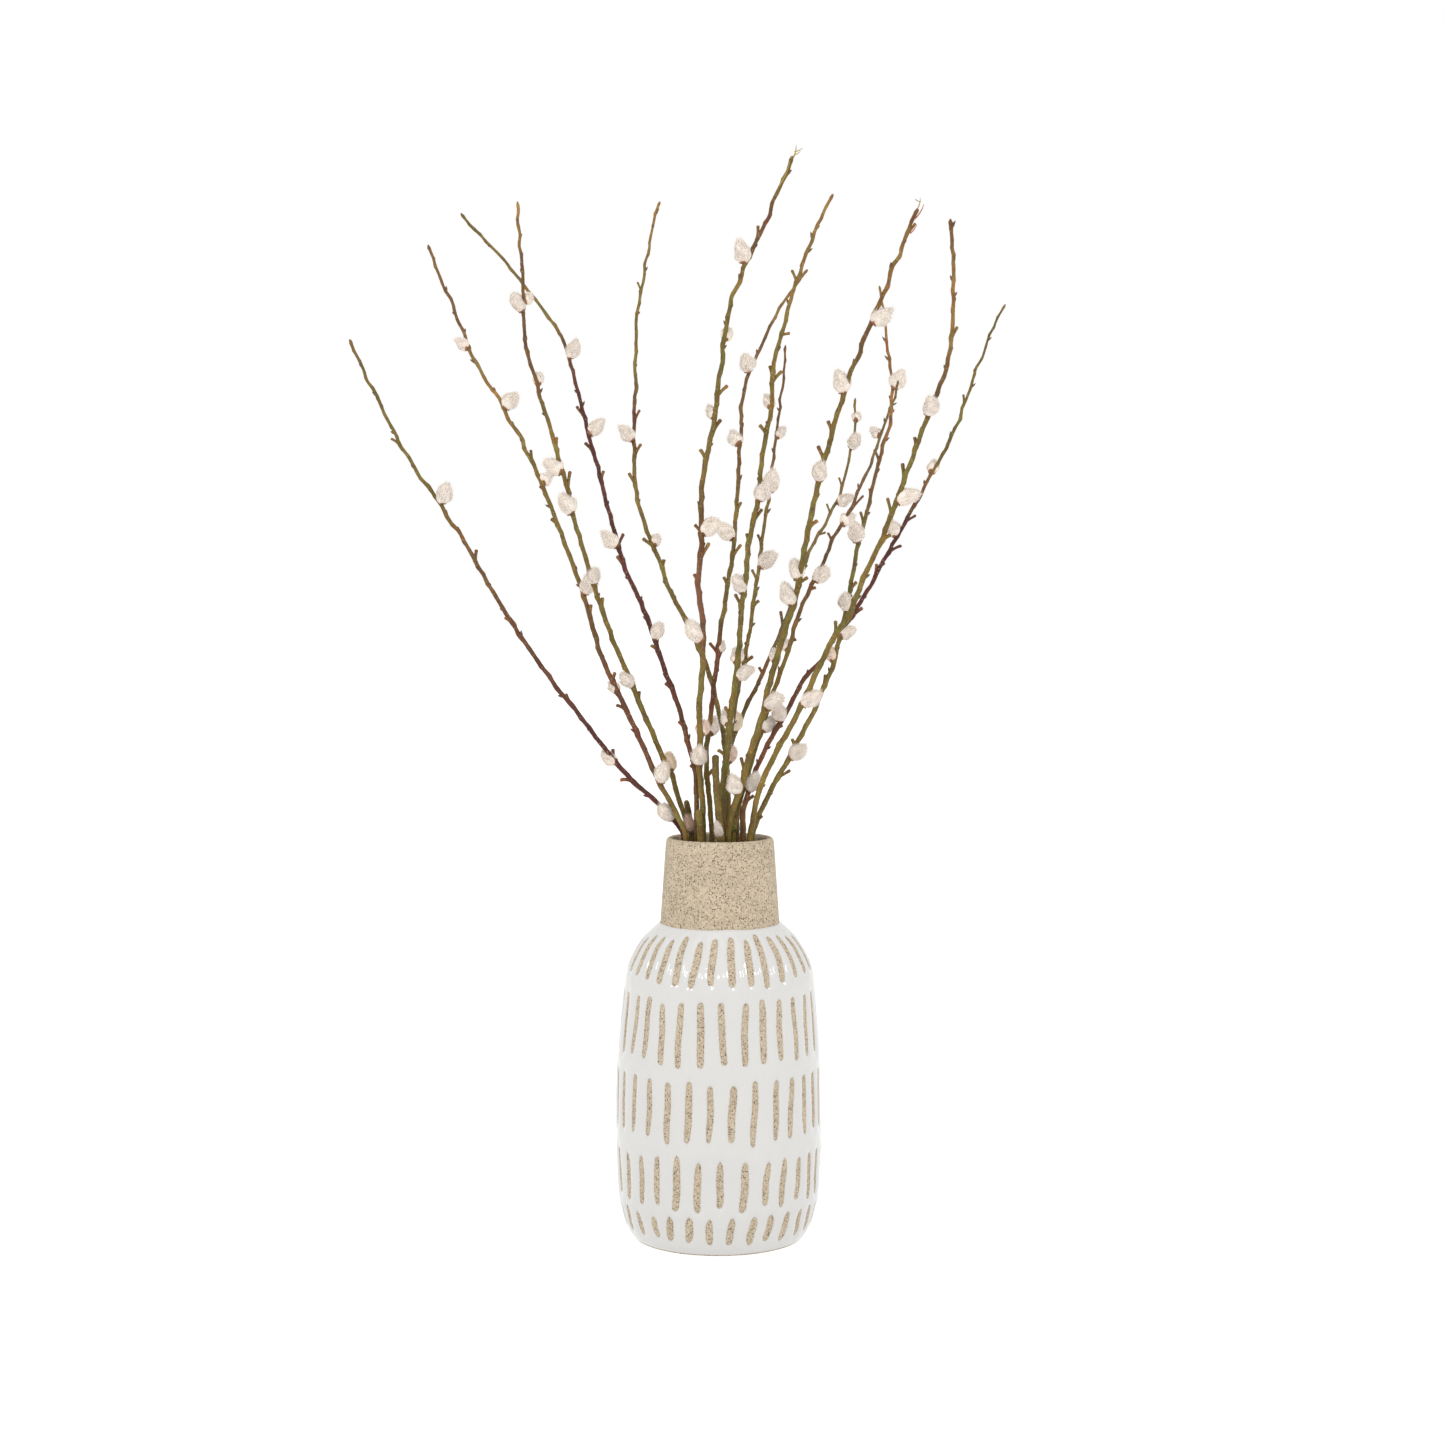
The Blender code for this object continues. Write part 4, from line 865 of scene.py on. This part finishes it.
def bud_skin(foot, direction, length, radius, tone):
    """A pointed leaf bud: an egg drawn out to a point, pressed flat toward the stem."""
    share = np.array([0, 0.22, 0.42, 0.64, 0.84, 1.0])
    shape = np.array([0.75, 1.05, 1.12, 0.88, 0.5, 0.08])
    across, upright = side_axes(direction)
    centres = foot + np.outer(share, direction) * length
    rings = ring_stack(centres, radius * shape, across, upright, BUD_SIDES)
    fade = np.interp(share, [0, 0.5, 1], [1.0, 0.85, 0.6])[:, None]
    return closed_skin(rings, tone * fade, finish=1)


def thread_skin(row, spec):
    """A torn strip of bark: thin rings from one front-view point to another, at the tip's depth,
    bowed by a fifteenth of its length and narrowing to its end."""
    right, up, end_right, end_up, width, name = spec
    back = row["depth"][1]
    foot, end = to_depth((right, end_right), (up, end_up), (back, back))
    share = np.array([0, 0.25, 0.5, 0.75, 1.0])
    heading = unit(end - foot)
    across, upright = side_axes(heading)
    bow = across * np.linalg.norm(end - foot) / 15
    centres = foot + np.outer(share, end - foot) + bow * (4 * share * (1 - share))[:, None]
    radii = 0.5 * width * MM * np.array([0.9, 1.0, 0.9, 0.75, 0.35])
    return closed_skin(ring_stack(centres, radii, across, upright, THREAD_SIDES), linear(BARK[name]))


def reddened(row, height, bark, red, draw):
    """The bark's tone at a height, with red-brown mixed in."""
    return bark_tones(row, np.array([height]), draw)[0] * bark + linear(BARK["red"]) * red


def small_bud_skins(row, taken, draw):
    """Small buds up the stem, 10 to 18 mm apart, each 144 degrees on from the last as a twig grows."""
    top = row["route"][-1][1] - BUDS_END
    height = BUDS_FROM + draw.uniform(0, 15)
    turn = draw.uniform(0, 2 * math.pi)
    skins = []
    while height < top:
        if min(abs(height - other) for other in taken) > SMALL_BUD_CLEARANCE:
            foot = front_place(row, height)
            heading = unit(front_place(row, height + 2) - foot)
            across, upright = side_axes(heading)
            side = across[0] * math.cos(turn) + upright[0] * math.sin(turn)
            radius = float(stem_radius(row, height))
            lean = math.radians(draw.uniform(24, 42))
            direction = heading * math.cos(lean) + side * math.sin(lean)
            tone = reddened(row, height, 0.6, 0.35, draw)
            skins.append(bud_skin(foot + side * radius * 0.45, direction, draw.uniform(2.6, 4.8) * MM,
                                  min(0.85 * MM, radius * 0.85), tone))
        height += draw.uniform(*BUD_GAP)
        turn += TWIG_TURN
    return skins


def make_stem(name, row, buds, finishes, draw):
    """One stem with its side twigs and buds as one piece."""
    taken = [spec[0] for spec in row["catkins"] + row["twigs"]] + [height for height, way in buds]
    skins = [stem_skin(row, taken + [NO_KNOT], name in STEMS, draw)]
    skins += [stub_skin(row, spec, draw) for spec in row["twigs"]]
    for height, direction in buds:
        tone = reddened(row, height, 0.5, 0.45, draw)
        radius = min(1.05 * MM, float(stem_radius(row, height)))
        skins.append(bud_skin(front_place(row, height), direction, BUD_LENGTH * MM, radius, tone))
    if name in STEMS:
        skins += small_bud_skins(row, taken, draw)
    skins += [thread_skin(row, spec) for spec in row.get("threads", [])]
    for height, *way in row.get("leaves", []):
        heading, length = way_to(*way)[:2]
        tone = linear("#8a8a3c") * draw.uniform(0.75, 1.15)
        skins.append(bud_skin(front_place(row, height), heading, length, 1.3 * MM, tone))
    made = put_in_mesh("bark_" + name, skins, finishes)
    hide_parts(name)
    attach(made, "root")


def willow_bark(look):
    """Willow bark, young and smooth: a satin skin with fine lengthwise streaks, darker patches and
    small pale pores."""
    material, tree, place = new_material("willow_bark")
    # Fibres are 0.2 mm wide, drawn at about 1 mm, and run eight times as far up the stem
    stretched = add_node(tree, "ShaderNodeMapping", {"Scale": (1.0, 1.0, 0.12), "Vector": place})
    fibre = noise(tree, stretched.outputs["Vector"], 1100.0, 3.0)
    streak = mapped(tree, fibre, (0.3, 0.7), (0.80, 1.3))
    shade = mapped(tree, noise(tree, place, 110.0, 2.0), (0.35, 0.65), (0.88, 1.16))
    # Patches 5 to 8 mm across lean to red-brown or to green
    leanings = ((1.0, 0.84, 0.78, 1.0), (0.97, 1.0, 0.88, 1.0))
    hues = ramp(tree, noise(tree, place, 150.0, 1.0), leanings, (0.35, 0.65))
    hued = add_node(tree, "ShaderNodeVectorMath", {
        "operation": "MULTIPLY", 0: own_layer(tree, "tone", "Color"), 1: hues}).outputs[0]
    streaked = scaled(tree, hued, product(tree, streak, shade))
    # Pores about 0.5 mm, some 2.5 mm apart
    pore = mapped(tree, cells(tree, place, 380.0)["Distance"], (0.24, 0.14), (0.0, 0.4))
    roughness = (look.bark_roughness - 0.08, look.bark_roughness + 0.12)
    return shaded(material, {
        "Base Color": blend(tree, pore, streaked, opaque("#b39c68")),
        "Roughness": mapped(tree, fibre, (0.3, 0.7), roughness),
        "Normal": relief(tree, fibre, 0.5, 0.0002), "IOR": 1.45, "Specular IOR Level": 0.25})


def mottled(tree, place, scale, shades):
    """The mesh's own tone with soft clouds of light and shade."""
    shade = mapped(tree, noise(tree, place, scale, 2.0), (0.3, 0.7), shades)
    return scaled(tree, own_layer(tree, "tone", "Color"), shade)


def bud_scale():
    """Willow bud scale, a single waxy cap: smoother and glossier than the bark around it."""
    material, tree, place = new_material("bud_scale")
    colour = mottled(tree, place, 700.0, (0.75, 1.2))
    return shaded(material, {"Base Color": colour, "Roughness": 0.36, "IOR": 1.48})


# The catkins

# Outline of a catkin: share of its length, then the share of its greatest radius for a round-ended
# and for a pointed one
CATKIN_SHARE = np.array([0.0, 0.05, 0.11, 0.18, 0.27, 0.37, 0.48, 0.60, 0.71, 0.81, 0.90, 0.97])
ROUND_SHAPE = np.array([0.24, 0.44, 0.64, 0.81, 0.94, 1.0, 0.99, 0.94, 0.84, 0.69, 0.48, 0.22])
POINTED_SHAPE = np.array([0.24, 0.46, 0.68, 0.86, 0.98, 1.0, 0.93, 0.79, 0.61, 0.43, 0.25, 0.10])
# A catkin's greatest radius as a share of its length, and at most
CATKIN_SLIMNESS, CATKIN_RADIUS_LIMIT = 0.385, 6.6 * MM
# Shares of the catkin's radius that the skin takes and that the hairs' roots stand at
SKIN_SHARE, ROOT_SHARE = 0.90, 0.87
HAIR_RADIUS = 0.12 * MM
# How far hairs lean outward and how long they are, in millimetres, by share of the catkin's length
HAIR_LEAN = ([0.0, 0.25, 0.6, 0.85, 1.0], [0.85, 0.42, 0.27, 0.22, 0.16])
HAIR_LENGTH = ([0, 0.2, 0.6, 0.9, 1.0], [1.7, 2.6, 2.7, 2.5, 2.2])
# How far hairs turn aside at random, and together in clumps, and how much longer tufts stand
STRAY, CLUMPING, TUFTS = 0.10, 0.12, 0.30
# Skin and hairs alike, as a share of the hair's colour
FUR_BRIGHTNESS = 0.97
# Catkins that are not white: by stem and number, the colour that tints their hair
CATKIN_TINTS = {
    ("stem_03", 0): "#efdace", ("stem_03", 1): "#f4e8d8", ("stem_09", 0): "#faece7",
    ("stem_06", 1): "#faede8", ("stem_11", 0): "#fcf6e6", ("stem_12", 1): "#faf0e6",
}


def catkin_form(row, spec, draw):
    """A catkin's foot, unit heading, side directions, length, greatest radius and outline.

    The outline is a mix of the round-ended and the pointed one, drawn for each catkin."""
    heading, length = way_to(*spec[1:4])[:2]
    across, upright = side_axes(heading)
    slimness = spec[4] if len(spec) > 4 else CATKIN_SLIMNESS * draw.uniform(0.86, 1.08)
    pointed = draw.uniform(0.1, 1.0)
    sideways = draw.uniform(-0.06, 0.06, 2) * length
    return dict(
        foot=front_place(row, spec[0]), heading=heading, across=across[0],
        upright=upright[0], length=length, widest=min(slimness * length, CATKIN_RADIUS_LIMIT),
        shape=(1 - pointed) * ROUND_SHAPE + pointed * POINTED_SHAPE,
        bow=across[0] * sideways[0] + upright[0] * sideways[1], phase=draw.uniform(0, 6.28, 3))


def catkin_middle(form, share):
    """The catkin's middle line: straight from its foot, and bowed sideways by 4 s (1 - s)."""
    share = np.asarray(share)[:, None]
    return form["foot"] + form["heading"] * share * form["length"] + form["bow"] * 4 * share * (1 - share)


def catkin_lumps(form, share, angle):
    """How much the catkin swells or sinks at a place, from slow waves round it and along it."""
    first, second, third = form["phase"]
    return (1 + 0.08 * np.sin(2 * angle + 3 * share + first) + 0.06 * np.sin(3 * angle - 5 * share + second)
            + 0.04 * np.sin(9 * share + third))


def fur_tones(share, fur):
    """Hair colour by share of the length: pale, and pinkish brown in the lowest fifth."""
    low = np.interp(share, [0.0, 0.22], [1.0, 0.0])
    return np.array(fur) * (1 - np.outer(low, (0.10, 0.24, 0.33)))


def catkin_skin(form, fur):
    """The catkin under its hairs: a lumpy egg, a little thinner than the whole."""
    lumps = catkin_lumps(form, CATKIN_SHARE[:, None], full_turn(CATKIN_SIDES)[None, :])
    radii = SKIN_SHARE * form["widest"] * form["shape"][:, None] * lumps
    centres = catkin_middle(form, CATKIN_SHARE * 0.98)
    rings = ring_stack(centres, radii, form["across"], form["upright"], CATKIN_SIDES)
    return closed_skin(rings, FUR_BRIGHTNESS * fur_tones(CATKIN_SHARE, fur))


def catkin_hairs(form, count, fur, draw):
    """The hairs of one catkin: each a spike of four small faces.

    Their roots wind up the skin by the golden angle, spaced evenly by area. Each points along the
    catkin, leaning outward by a share that falls toward the tip, with a random spread, and tufts of
    them stand longer than the rest.
    """
    heading, across, upright = form["heading"], form["across"], form["upright"]
    skin_area = np.cumsum(form["shape"] + 0.25)
    skin_area = (skin_area - skin_area[0]) / (skin_area[-1] - skin_area[0])
    index = np.arange(count)
    share = np.interp((index + 0.5) / count, skin_area, CATKIN_SHARE)
    share = np.clip(share + draw.normal(0, 0.02, count), 0.05, 0.98)
    angle = index * GOLDEN_TURN + draw.normal(0, 0.25, count)
    radial = across * np.cos(angle)[:, None] + upright * np.sin(angle)[:, None]
    radius = form["widest"] * ROOT_SHARE * np.interp(share, CATKIN_SHARE, form["shape"])
    radius = radius * catkin_lumps(form, share, angle)
    root = catkin_middle(form, share * 0.97) + radial * radius[:, None]
    lean = np.interp(share, *HAIR_LEAN)
    clump = np.stack([np.sin(4 * angle + 11 * share + turn) for turn in form["phase"]], axis=1)
    spread = draw.normal(0, STRAY, (count, 3)) + CLUMPING * clump
    direction = unit(heading + radial * lean[:, None] + spread)
    tufts = 1 + TUFTS * np.sin(3 * angle + 9 * share + draw.uniform(0, 6.28))
    reach = np.interp(share, *HAIR_LENGTH) * MM
    reach = reach * tufts * draw.uniform(0.7, 1.3, count) * (form["length"] / (18 * MM)) ** 0.5
    first, second = side_axes(direction)
    thick = HAIR_RADIUS * draw.uniform(0.8, 1.2, count)
    corners = full_turn(3)
    base = (root[:, None]
            + first[:, None] * (np.cos(corners)[None, :, None] * thick[:, None, None])
            + second[:, None] * (np.sin(corners)[None, :, None] * thick[:, None, None]))
    tip = (root + direction * reach[:, None])[:, None]
    points = np.concatenate([base, tip], axis=1).reshape(-1, 3)
    at = (index * 4)[:, None, None]
    faces = np.array([(0, 1, 3), (1, 2, 3), (2, 0, 3), (2, 1, 0)])[None] + at
    bright = FUR_BRIGHTNESS * draw.uniform(0.95, 1.05, count)
    # Each hair's three root corners are painted 6 % darker and its tip 6 % lighter: painted shade down
    # among the roots and painted light on the tips
    brightness = np.stack([bright * 0.94] * 3 + [bright * 1.06], axis=1).reshape(-1, 1)
    tones = brightness * np.repeat(fur_tones(share, fur), 4, axis=0)
    return dict(points=points, quads=np.zeros((0, 4), int), triangles=faces.reshape(-1, 3),
                tones=np.clip(tones, 0, 1), finish=0, flat=True)


def scale_skin(row, height, form, draw):
    """The cap that the catkin burst from: a small cup round its foot, longer on the stem's side."""
    share = np.array([0.0, 0.03, 0.07, 0.11, 0.14])
    cup = np.array([0.26, 0.40, 0.54, 0.64, 0.60]) * form["widest"]
    stem_way = front_place(row, height + 2) - form["foot"]
    side = math.atan2(float(stem_way @ form["upright"]), float(stem_way @ form["across"]))
    longer = 1 + 0.5 * np.cos(full_turn(SCALE_SIDES) - side)
    centres = form["foot"] + np.outer(share, form["heading"]) * form["length"]
    rings = ring_stack(centres, cup, form["across"], form["upright"], SCALE_SIDES)
    stretch = (share * form["length"])[:, None] * (longer[None, :] - 1) * 0.8
    rings = rings + form["heading"] * stretch[..., None]
    return closed_skin(rings, linear("#7a5030") * draw.uniform(0.75, 1.3), finish=1)


def make_catkins(name, row, sizes, look, finishes, draw):
    """All catkins of one stem with their hairs and bud scales as one piece."""
    skins = []
    for number, spec in enumerate(row["catkins"]):
        fur = np.array(look.fur) * draw.uniform(0.95, 1.02)
        fur = fur * linear(CATKIN_TINTS.get((name, number), "#ffffff"))
        form = catkin_form(row, spec, draw)
        skins.append(catkin_skin(form, fur))
        skins.append(catkin_hairs(form, sizes.hairs, fur, draw))
        skins.append(scale_skin(row, spec[0], form, draw))
    made = put_in_mesh("catkins_" + name, skins, finishes)
    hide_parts(name)
    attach(made, "root")


def catkin_silk():
    """Willow catkin silk: fine matt hair, pale at the ends and warmer below, that scatters light
    softly and brightens at a grazing angle."""
    material, tree, place = new_material("catkin_silk")
    # Tufts of hair clump at about 2 mm
    colour = mottled(tree, place, 480.0, (0.93, 1.05))
    return shaded(material, {"Base Color": colour, "Roughness": 0.8, "IOR": 1.5,
                             "Sheen Weight": 0.25, "Sheen Roughness": 0.5})


# The stage


def make_floor(sizes, look):
    """A round pale floor: rings of growing radius at height zero."""
    material, tree, place = new_material("matt_white_floor")
    tint = blend(tree, noise(tree, place, 3.0, 2.0), (*look.floor, 1.0), opaque("#8a8a89"))
    # The floor is a light table: its own glow leaves only a faint contact shadow
    shaded(material, {"Base Color": tint, "Roughness": 0.9, "Emission Color": WHITE,
                      "Emission Strength": look.floor_glow})
    radii = np.array([0.05, 0.3, 1.0, 3.0, sizes.floor_radius])
    rings = ring_stack(np.zeros((len(radii), 3)), radii, (1.0, 0.0, 0.0), (0.0, 1.0, 0.0), FLOOR_SIDES)
    skin = closed_skin(rings[::-1], WHITE[:3])
    # Only the inner ring is closed, by the second fan, so the first fan and its middle point go
    inner = skin["triangles"][FLOOR_SIDES:]
    skin["triangles"] = inner - (inner == len(skin["points"]) - 1)
    skin["points"] = skin["points"][:-1]
    skin["tones"] = skin["tones"][:-1]
    floor = put_in_mesh("floor", [skin], [material])


# Small soft lights stand in a half ring in front, and give the glaze its row of highlights:
# degrees from the front, and height in metres
RING_LIGHTS = [(-78, 1.20), (-46, 1.30), (-17, 1.22), (14, 1.34), (44, 1.26), (76, 1.18)]
RING_RADIUS = 1.8
# Each kind of light's aim, width and power, and the overhead one's place
RING_LIGHT = ((0, 0, 0.2), 0.28, 3.2)
OVERHEAD_LIGHT = ((0, 0, 0), 1.6, 4.0)
OVERHEAD_PLACE = (0.0, -0.3, 2.6)
CAMERA_AIM = (0.003, 0.0, 0.3855)


def turn_to(place, aim):
    """The turn that points a light or a camera from its place to its aim."""
    return (Vector(aim) - Vector(place)).to_track_quat("-Z", "Y").to_euler()


def add_light(name, place, aim, width, power):
    """A square soft light at a place, turned to its aim."""
    light = bpy.data.lights.new(name, "AREA")
    light.size = width
    light.energy = power
    lamp = bpy.data.objects.new(name, light)
    lamp.location = place
    lamp.rotation_euler = turn_to(place, aim)
    bpy.context.scene.collection.objects.link(lamp)


def make_surround(look):
    """An even white surround."""
    world = bpy.data.worlds.new("white_surround")
    world.use_nodes = True
    ground = world.node_tree.nodes["Background"]
    ground.inputs["Color"].default_value = WHITE
    ground.inputs["Strength"].default_value = look.surround
    bpy.context.scene.world = world


def make_camera(sizes):
    """The photograph's camera, a little above the whole object's middle and looking slightly down."""
    camera = bpy.data.objects.new("camera", bpy.data.cameras.new("camera"))
    camera.data.lens = sizes.lens
    camera.data.sensor_width = 36.0
    camera.location = Vector(EYE)
    camera.rotation_euler = turn_to(EYE, CAMERA_AIM)
    bpy.context.scene.collection.objects.link(camera)
    bpy.context.scene.camera = camera


def length_setting(name, description, default, precision=2):
    """A length in metres."""
    return bpy.props.FloatProperty(name=name, description=description, default=default,
                                   precision=precision, subtype="DISTANCE", unit="LENGTH")


def colour_setting(name, description, hex_colour):
    """A colour, kept as linear values."""
    return bpy.props.FloatVectorProperty(name=name, description=description, subtype="COLOR",
                                         default=tuple(linear(hex_colour)), min=0, max=1)


def share_setting(name, description, default):
    """A share from 0 to 1."""
    return bpy.props.FloatProperty(name=name, description=description, default=default,
                                   min=0, max=1, subtype="FACTOR")


class WillowSizes(bpy.types.PropertyGroup):
    """Sizes of the dressed vase and stems."""

    columns: bpy.props.IntProperty(
        name="Vase columns", description="Points round the vase", default=384, min=96, max=400)
    shoulder_blur: length_setting("Shoulder softness", "How softly the vase's side turns", 0.003)
    glaze_depth: length_setting("Glaze depth", "How far a dash lies below the glaze", 0.0011, 5)
    edge_softness: length_setting(
        "Edge softness", "Distance over which the glaze reaches its depth", 0.0021, 5)
    hairs: bpy.props.IntProperty(
        name="Hairs", description="Hairs on each catkin", default=1500, min=100, max=4000)
    floor_radius: length_setting("Floor radius", "Radius of the round floor", 30.0)
    lens: bpy.props.FloatProperty(
        name="Lens", description="Focal length of the camera in millimetres",
        default=60.263, unit="CAMERA")


class WillowLook(bpy.types.PropertyGroup):
    """Colours and finishes of the dressed vase and stems."""

    glaze: colour_setting("Glaze", "Colour of the white glaze", "#c8c7c4")
    clay: colour_setting("Clay", "Colour of the bare stoneware", "#c3b198")
    fur: colour_setting("Fur", "Colour of the catkins' hair", "#e6dcd1")
    floor: colour_setting("Floor", "Colour of the floor", "#8c8c8c")
    floor_glow: bpy.props.FloatProperty(
        name="Floor glow", description="Light that the floor gives off", default=0.84, min=0)
    glaze_roughness: share_setting("Glaze roughness", "Roughness of the glaze", 0.08)
    bark_roughness: share_setting("Bark roughness", "Roughness of the bark", 0.52)
    surround: bpy.props.FloatProperty(
        name="Surround", description="Strength of the white surround", default=1.0, min=0)


class WILLOW_OT_vase(bpy.types.Operator):
    """Add the glazed stoneware vase"""

    bl_idname = "willow.vase"
    bl_label = "Add Vase"

    def execute(self, context):
        make_vase(context.scene.willow_sizes, glazed_stoneware(context.scene.willow_look))
        return {"FINISHED"}


class WILLOW_OT_stems(bpy.types.Operator):
    """Add every stem with its side twigs and buds"""

    bl_idname = "willow.stems"
    bl_label = "Add Stems"

    def execute(self, context):
        look = context.scene.willow_look
        finishes = [willow_bark(look), bud_scale()]
        buds = solid_buds()
        for number, (name, row) in enumerate(ALL_STEMS.items()):
            make_stem(name, row, buds.get(name, []), finishes, np.random.default_rng(100 + number))
        return {"FINISHED"}


class WILLOW_OT_catkins(bpy.types.Operator):
    """Add the catkins with their hairs"""

    bl_idname = "willow.catkins"
    bl_label = "Add Catkins"

    def execute(self, context):
        sizes = context.scene.willow_sizes
        look = context.scene.willow_look
        finishes = [catkin_silk(), bpy.data.materials.get("bud_scale") or bud_scale()]
        for number, (name, row) in enumerate(ALL_STEMS.items()):
            if row["catkins"]:
                make_catkins(name, row, sizes, look, finishes, np.random.default_rng(200 + number))
        return {"FINISHED"}


class WILLOW_OT_stage(bpy.types.Operator):
    """Add the floor, the soft light and the camera"""

    bl_idname = "willow.stage"
    bl_label = "Add Stage"

    def execute(self, context):
        sizes = context.scene.willow_sizes
        look = context.scene.willow_look
        make_floor(sizes, look)
        make_surround(look)
        add_light("overhead_light", OVERHEAD_PLACE, *OVERHEAD_LIGHT)
        for number, (degrees, height) in enumerate(RING_LIGHTS):
            turn = math.radians(degrees)
            place = (RING_RADIUS * math.sin(turn), -RING_RADIUS * math.cos(turn), height)
            add_light(f"ring_light_{number + 1}", place, *RING_LIGHT)
        make_camera(sizes)
        context.scene.view_settings.view_transform = "Standard"
        return {"FINISHED"}


class WILLOW_PT_panel(bpy.types.Panel):
    """Lists the steps and the settings"""

    bl_idname = "WILLOW_PT_panel"
    bl_label = "Willow Stems in Vase"
    bl_space_type = "VIEW_3D"
    bl_region_type = "UI"
    bl_category = "Willow"

    def draw(self, context):
        for step in STEPS:
            self.layout.operator(step.bl_idname)
        for group in (context.scene.willow_sizes, context.scene.willow_look):
            for key in group.__annotations__:
                self.layout.prop(group, key)


STEPS = (WILLOW_OT_vase, WILLOW_OT_stems, WILLOW_OT_catkins, WILLOW_OT_stage)
CLASSES = (WillowSizes, WillowLook, *STEPS, WILLOW_PT_panel)


def register():
    """Register the classes and hang the settings on the scene."""
    for each in CLASSES:
        bpy.utils.register_class(each)
    bpy.types.Scene.willow_sizes = bpy.props.PointerProperty(type=WillowSizes)
    bpy.types.Scene.willow_look = bpy.props.PointerProperty(type=WillowLook)


def unregister():
    """Take the settings and classes away again."""
    del bpy.types.Scene.willow_look
    del bpy.types.Scene.willow_sizes
    for each in reversed(CLASSES):
        bpy.utils.unregister_class(each)


def main():
    """Build everything in order."""
    register()
    bpy.ops.willow.stage()
    bpy.ops.willow.vase()
    bpy.ops.willow.stems()
    bpy.ops.willow.catkins()


if __name__ == "__main__":
    main()
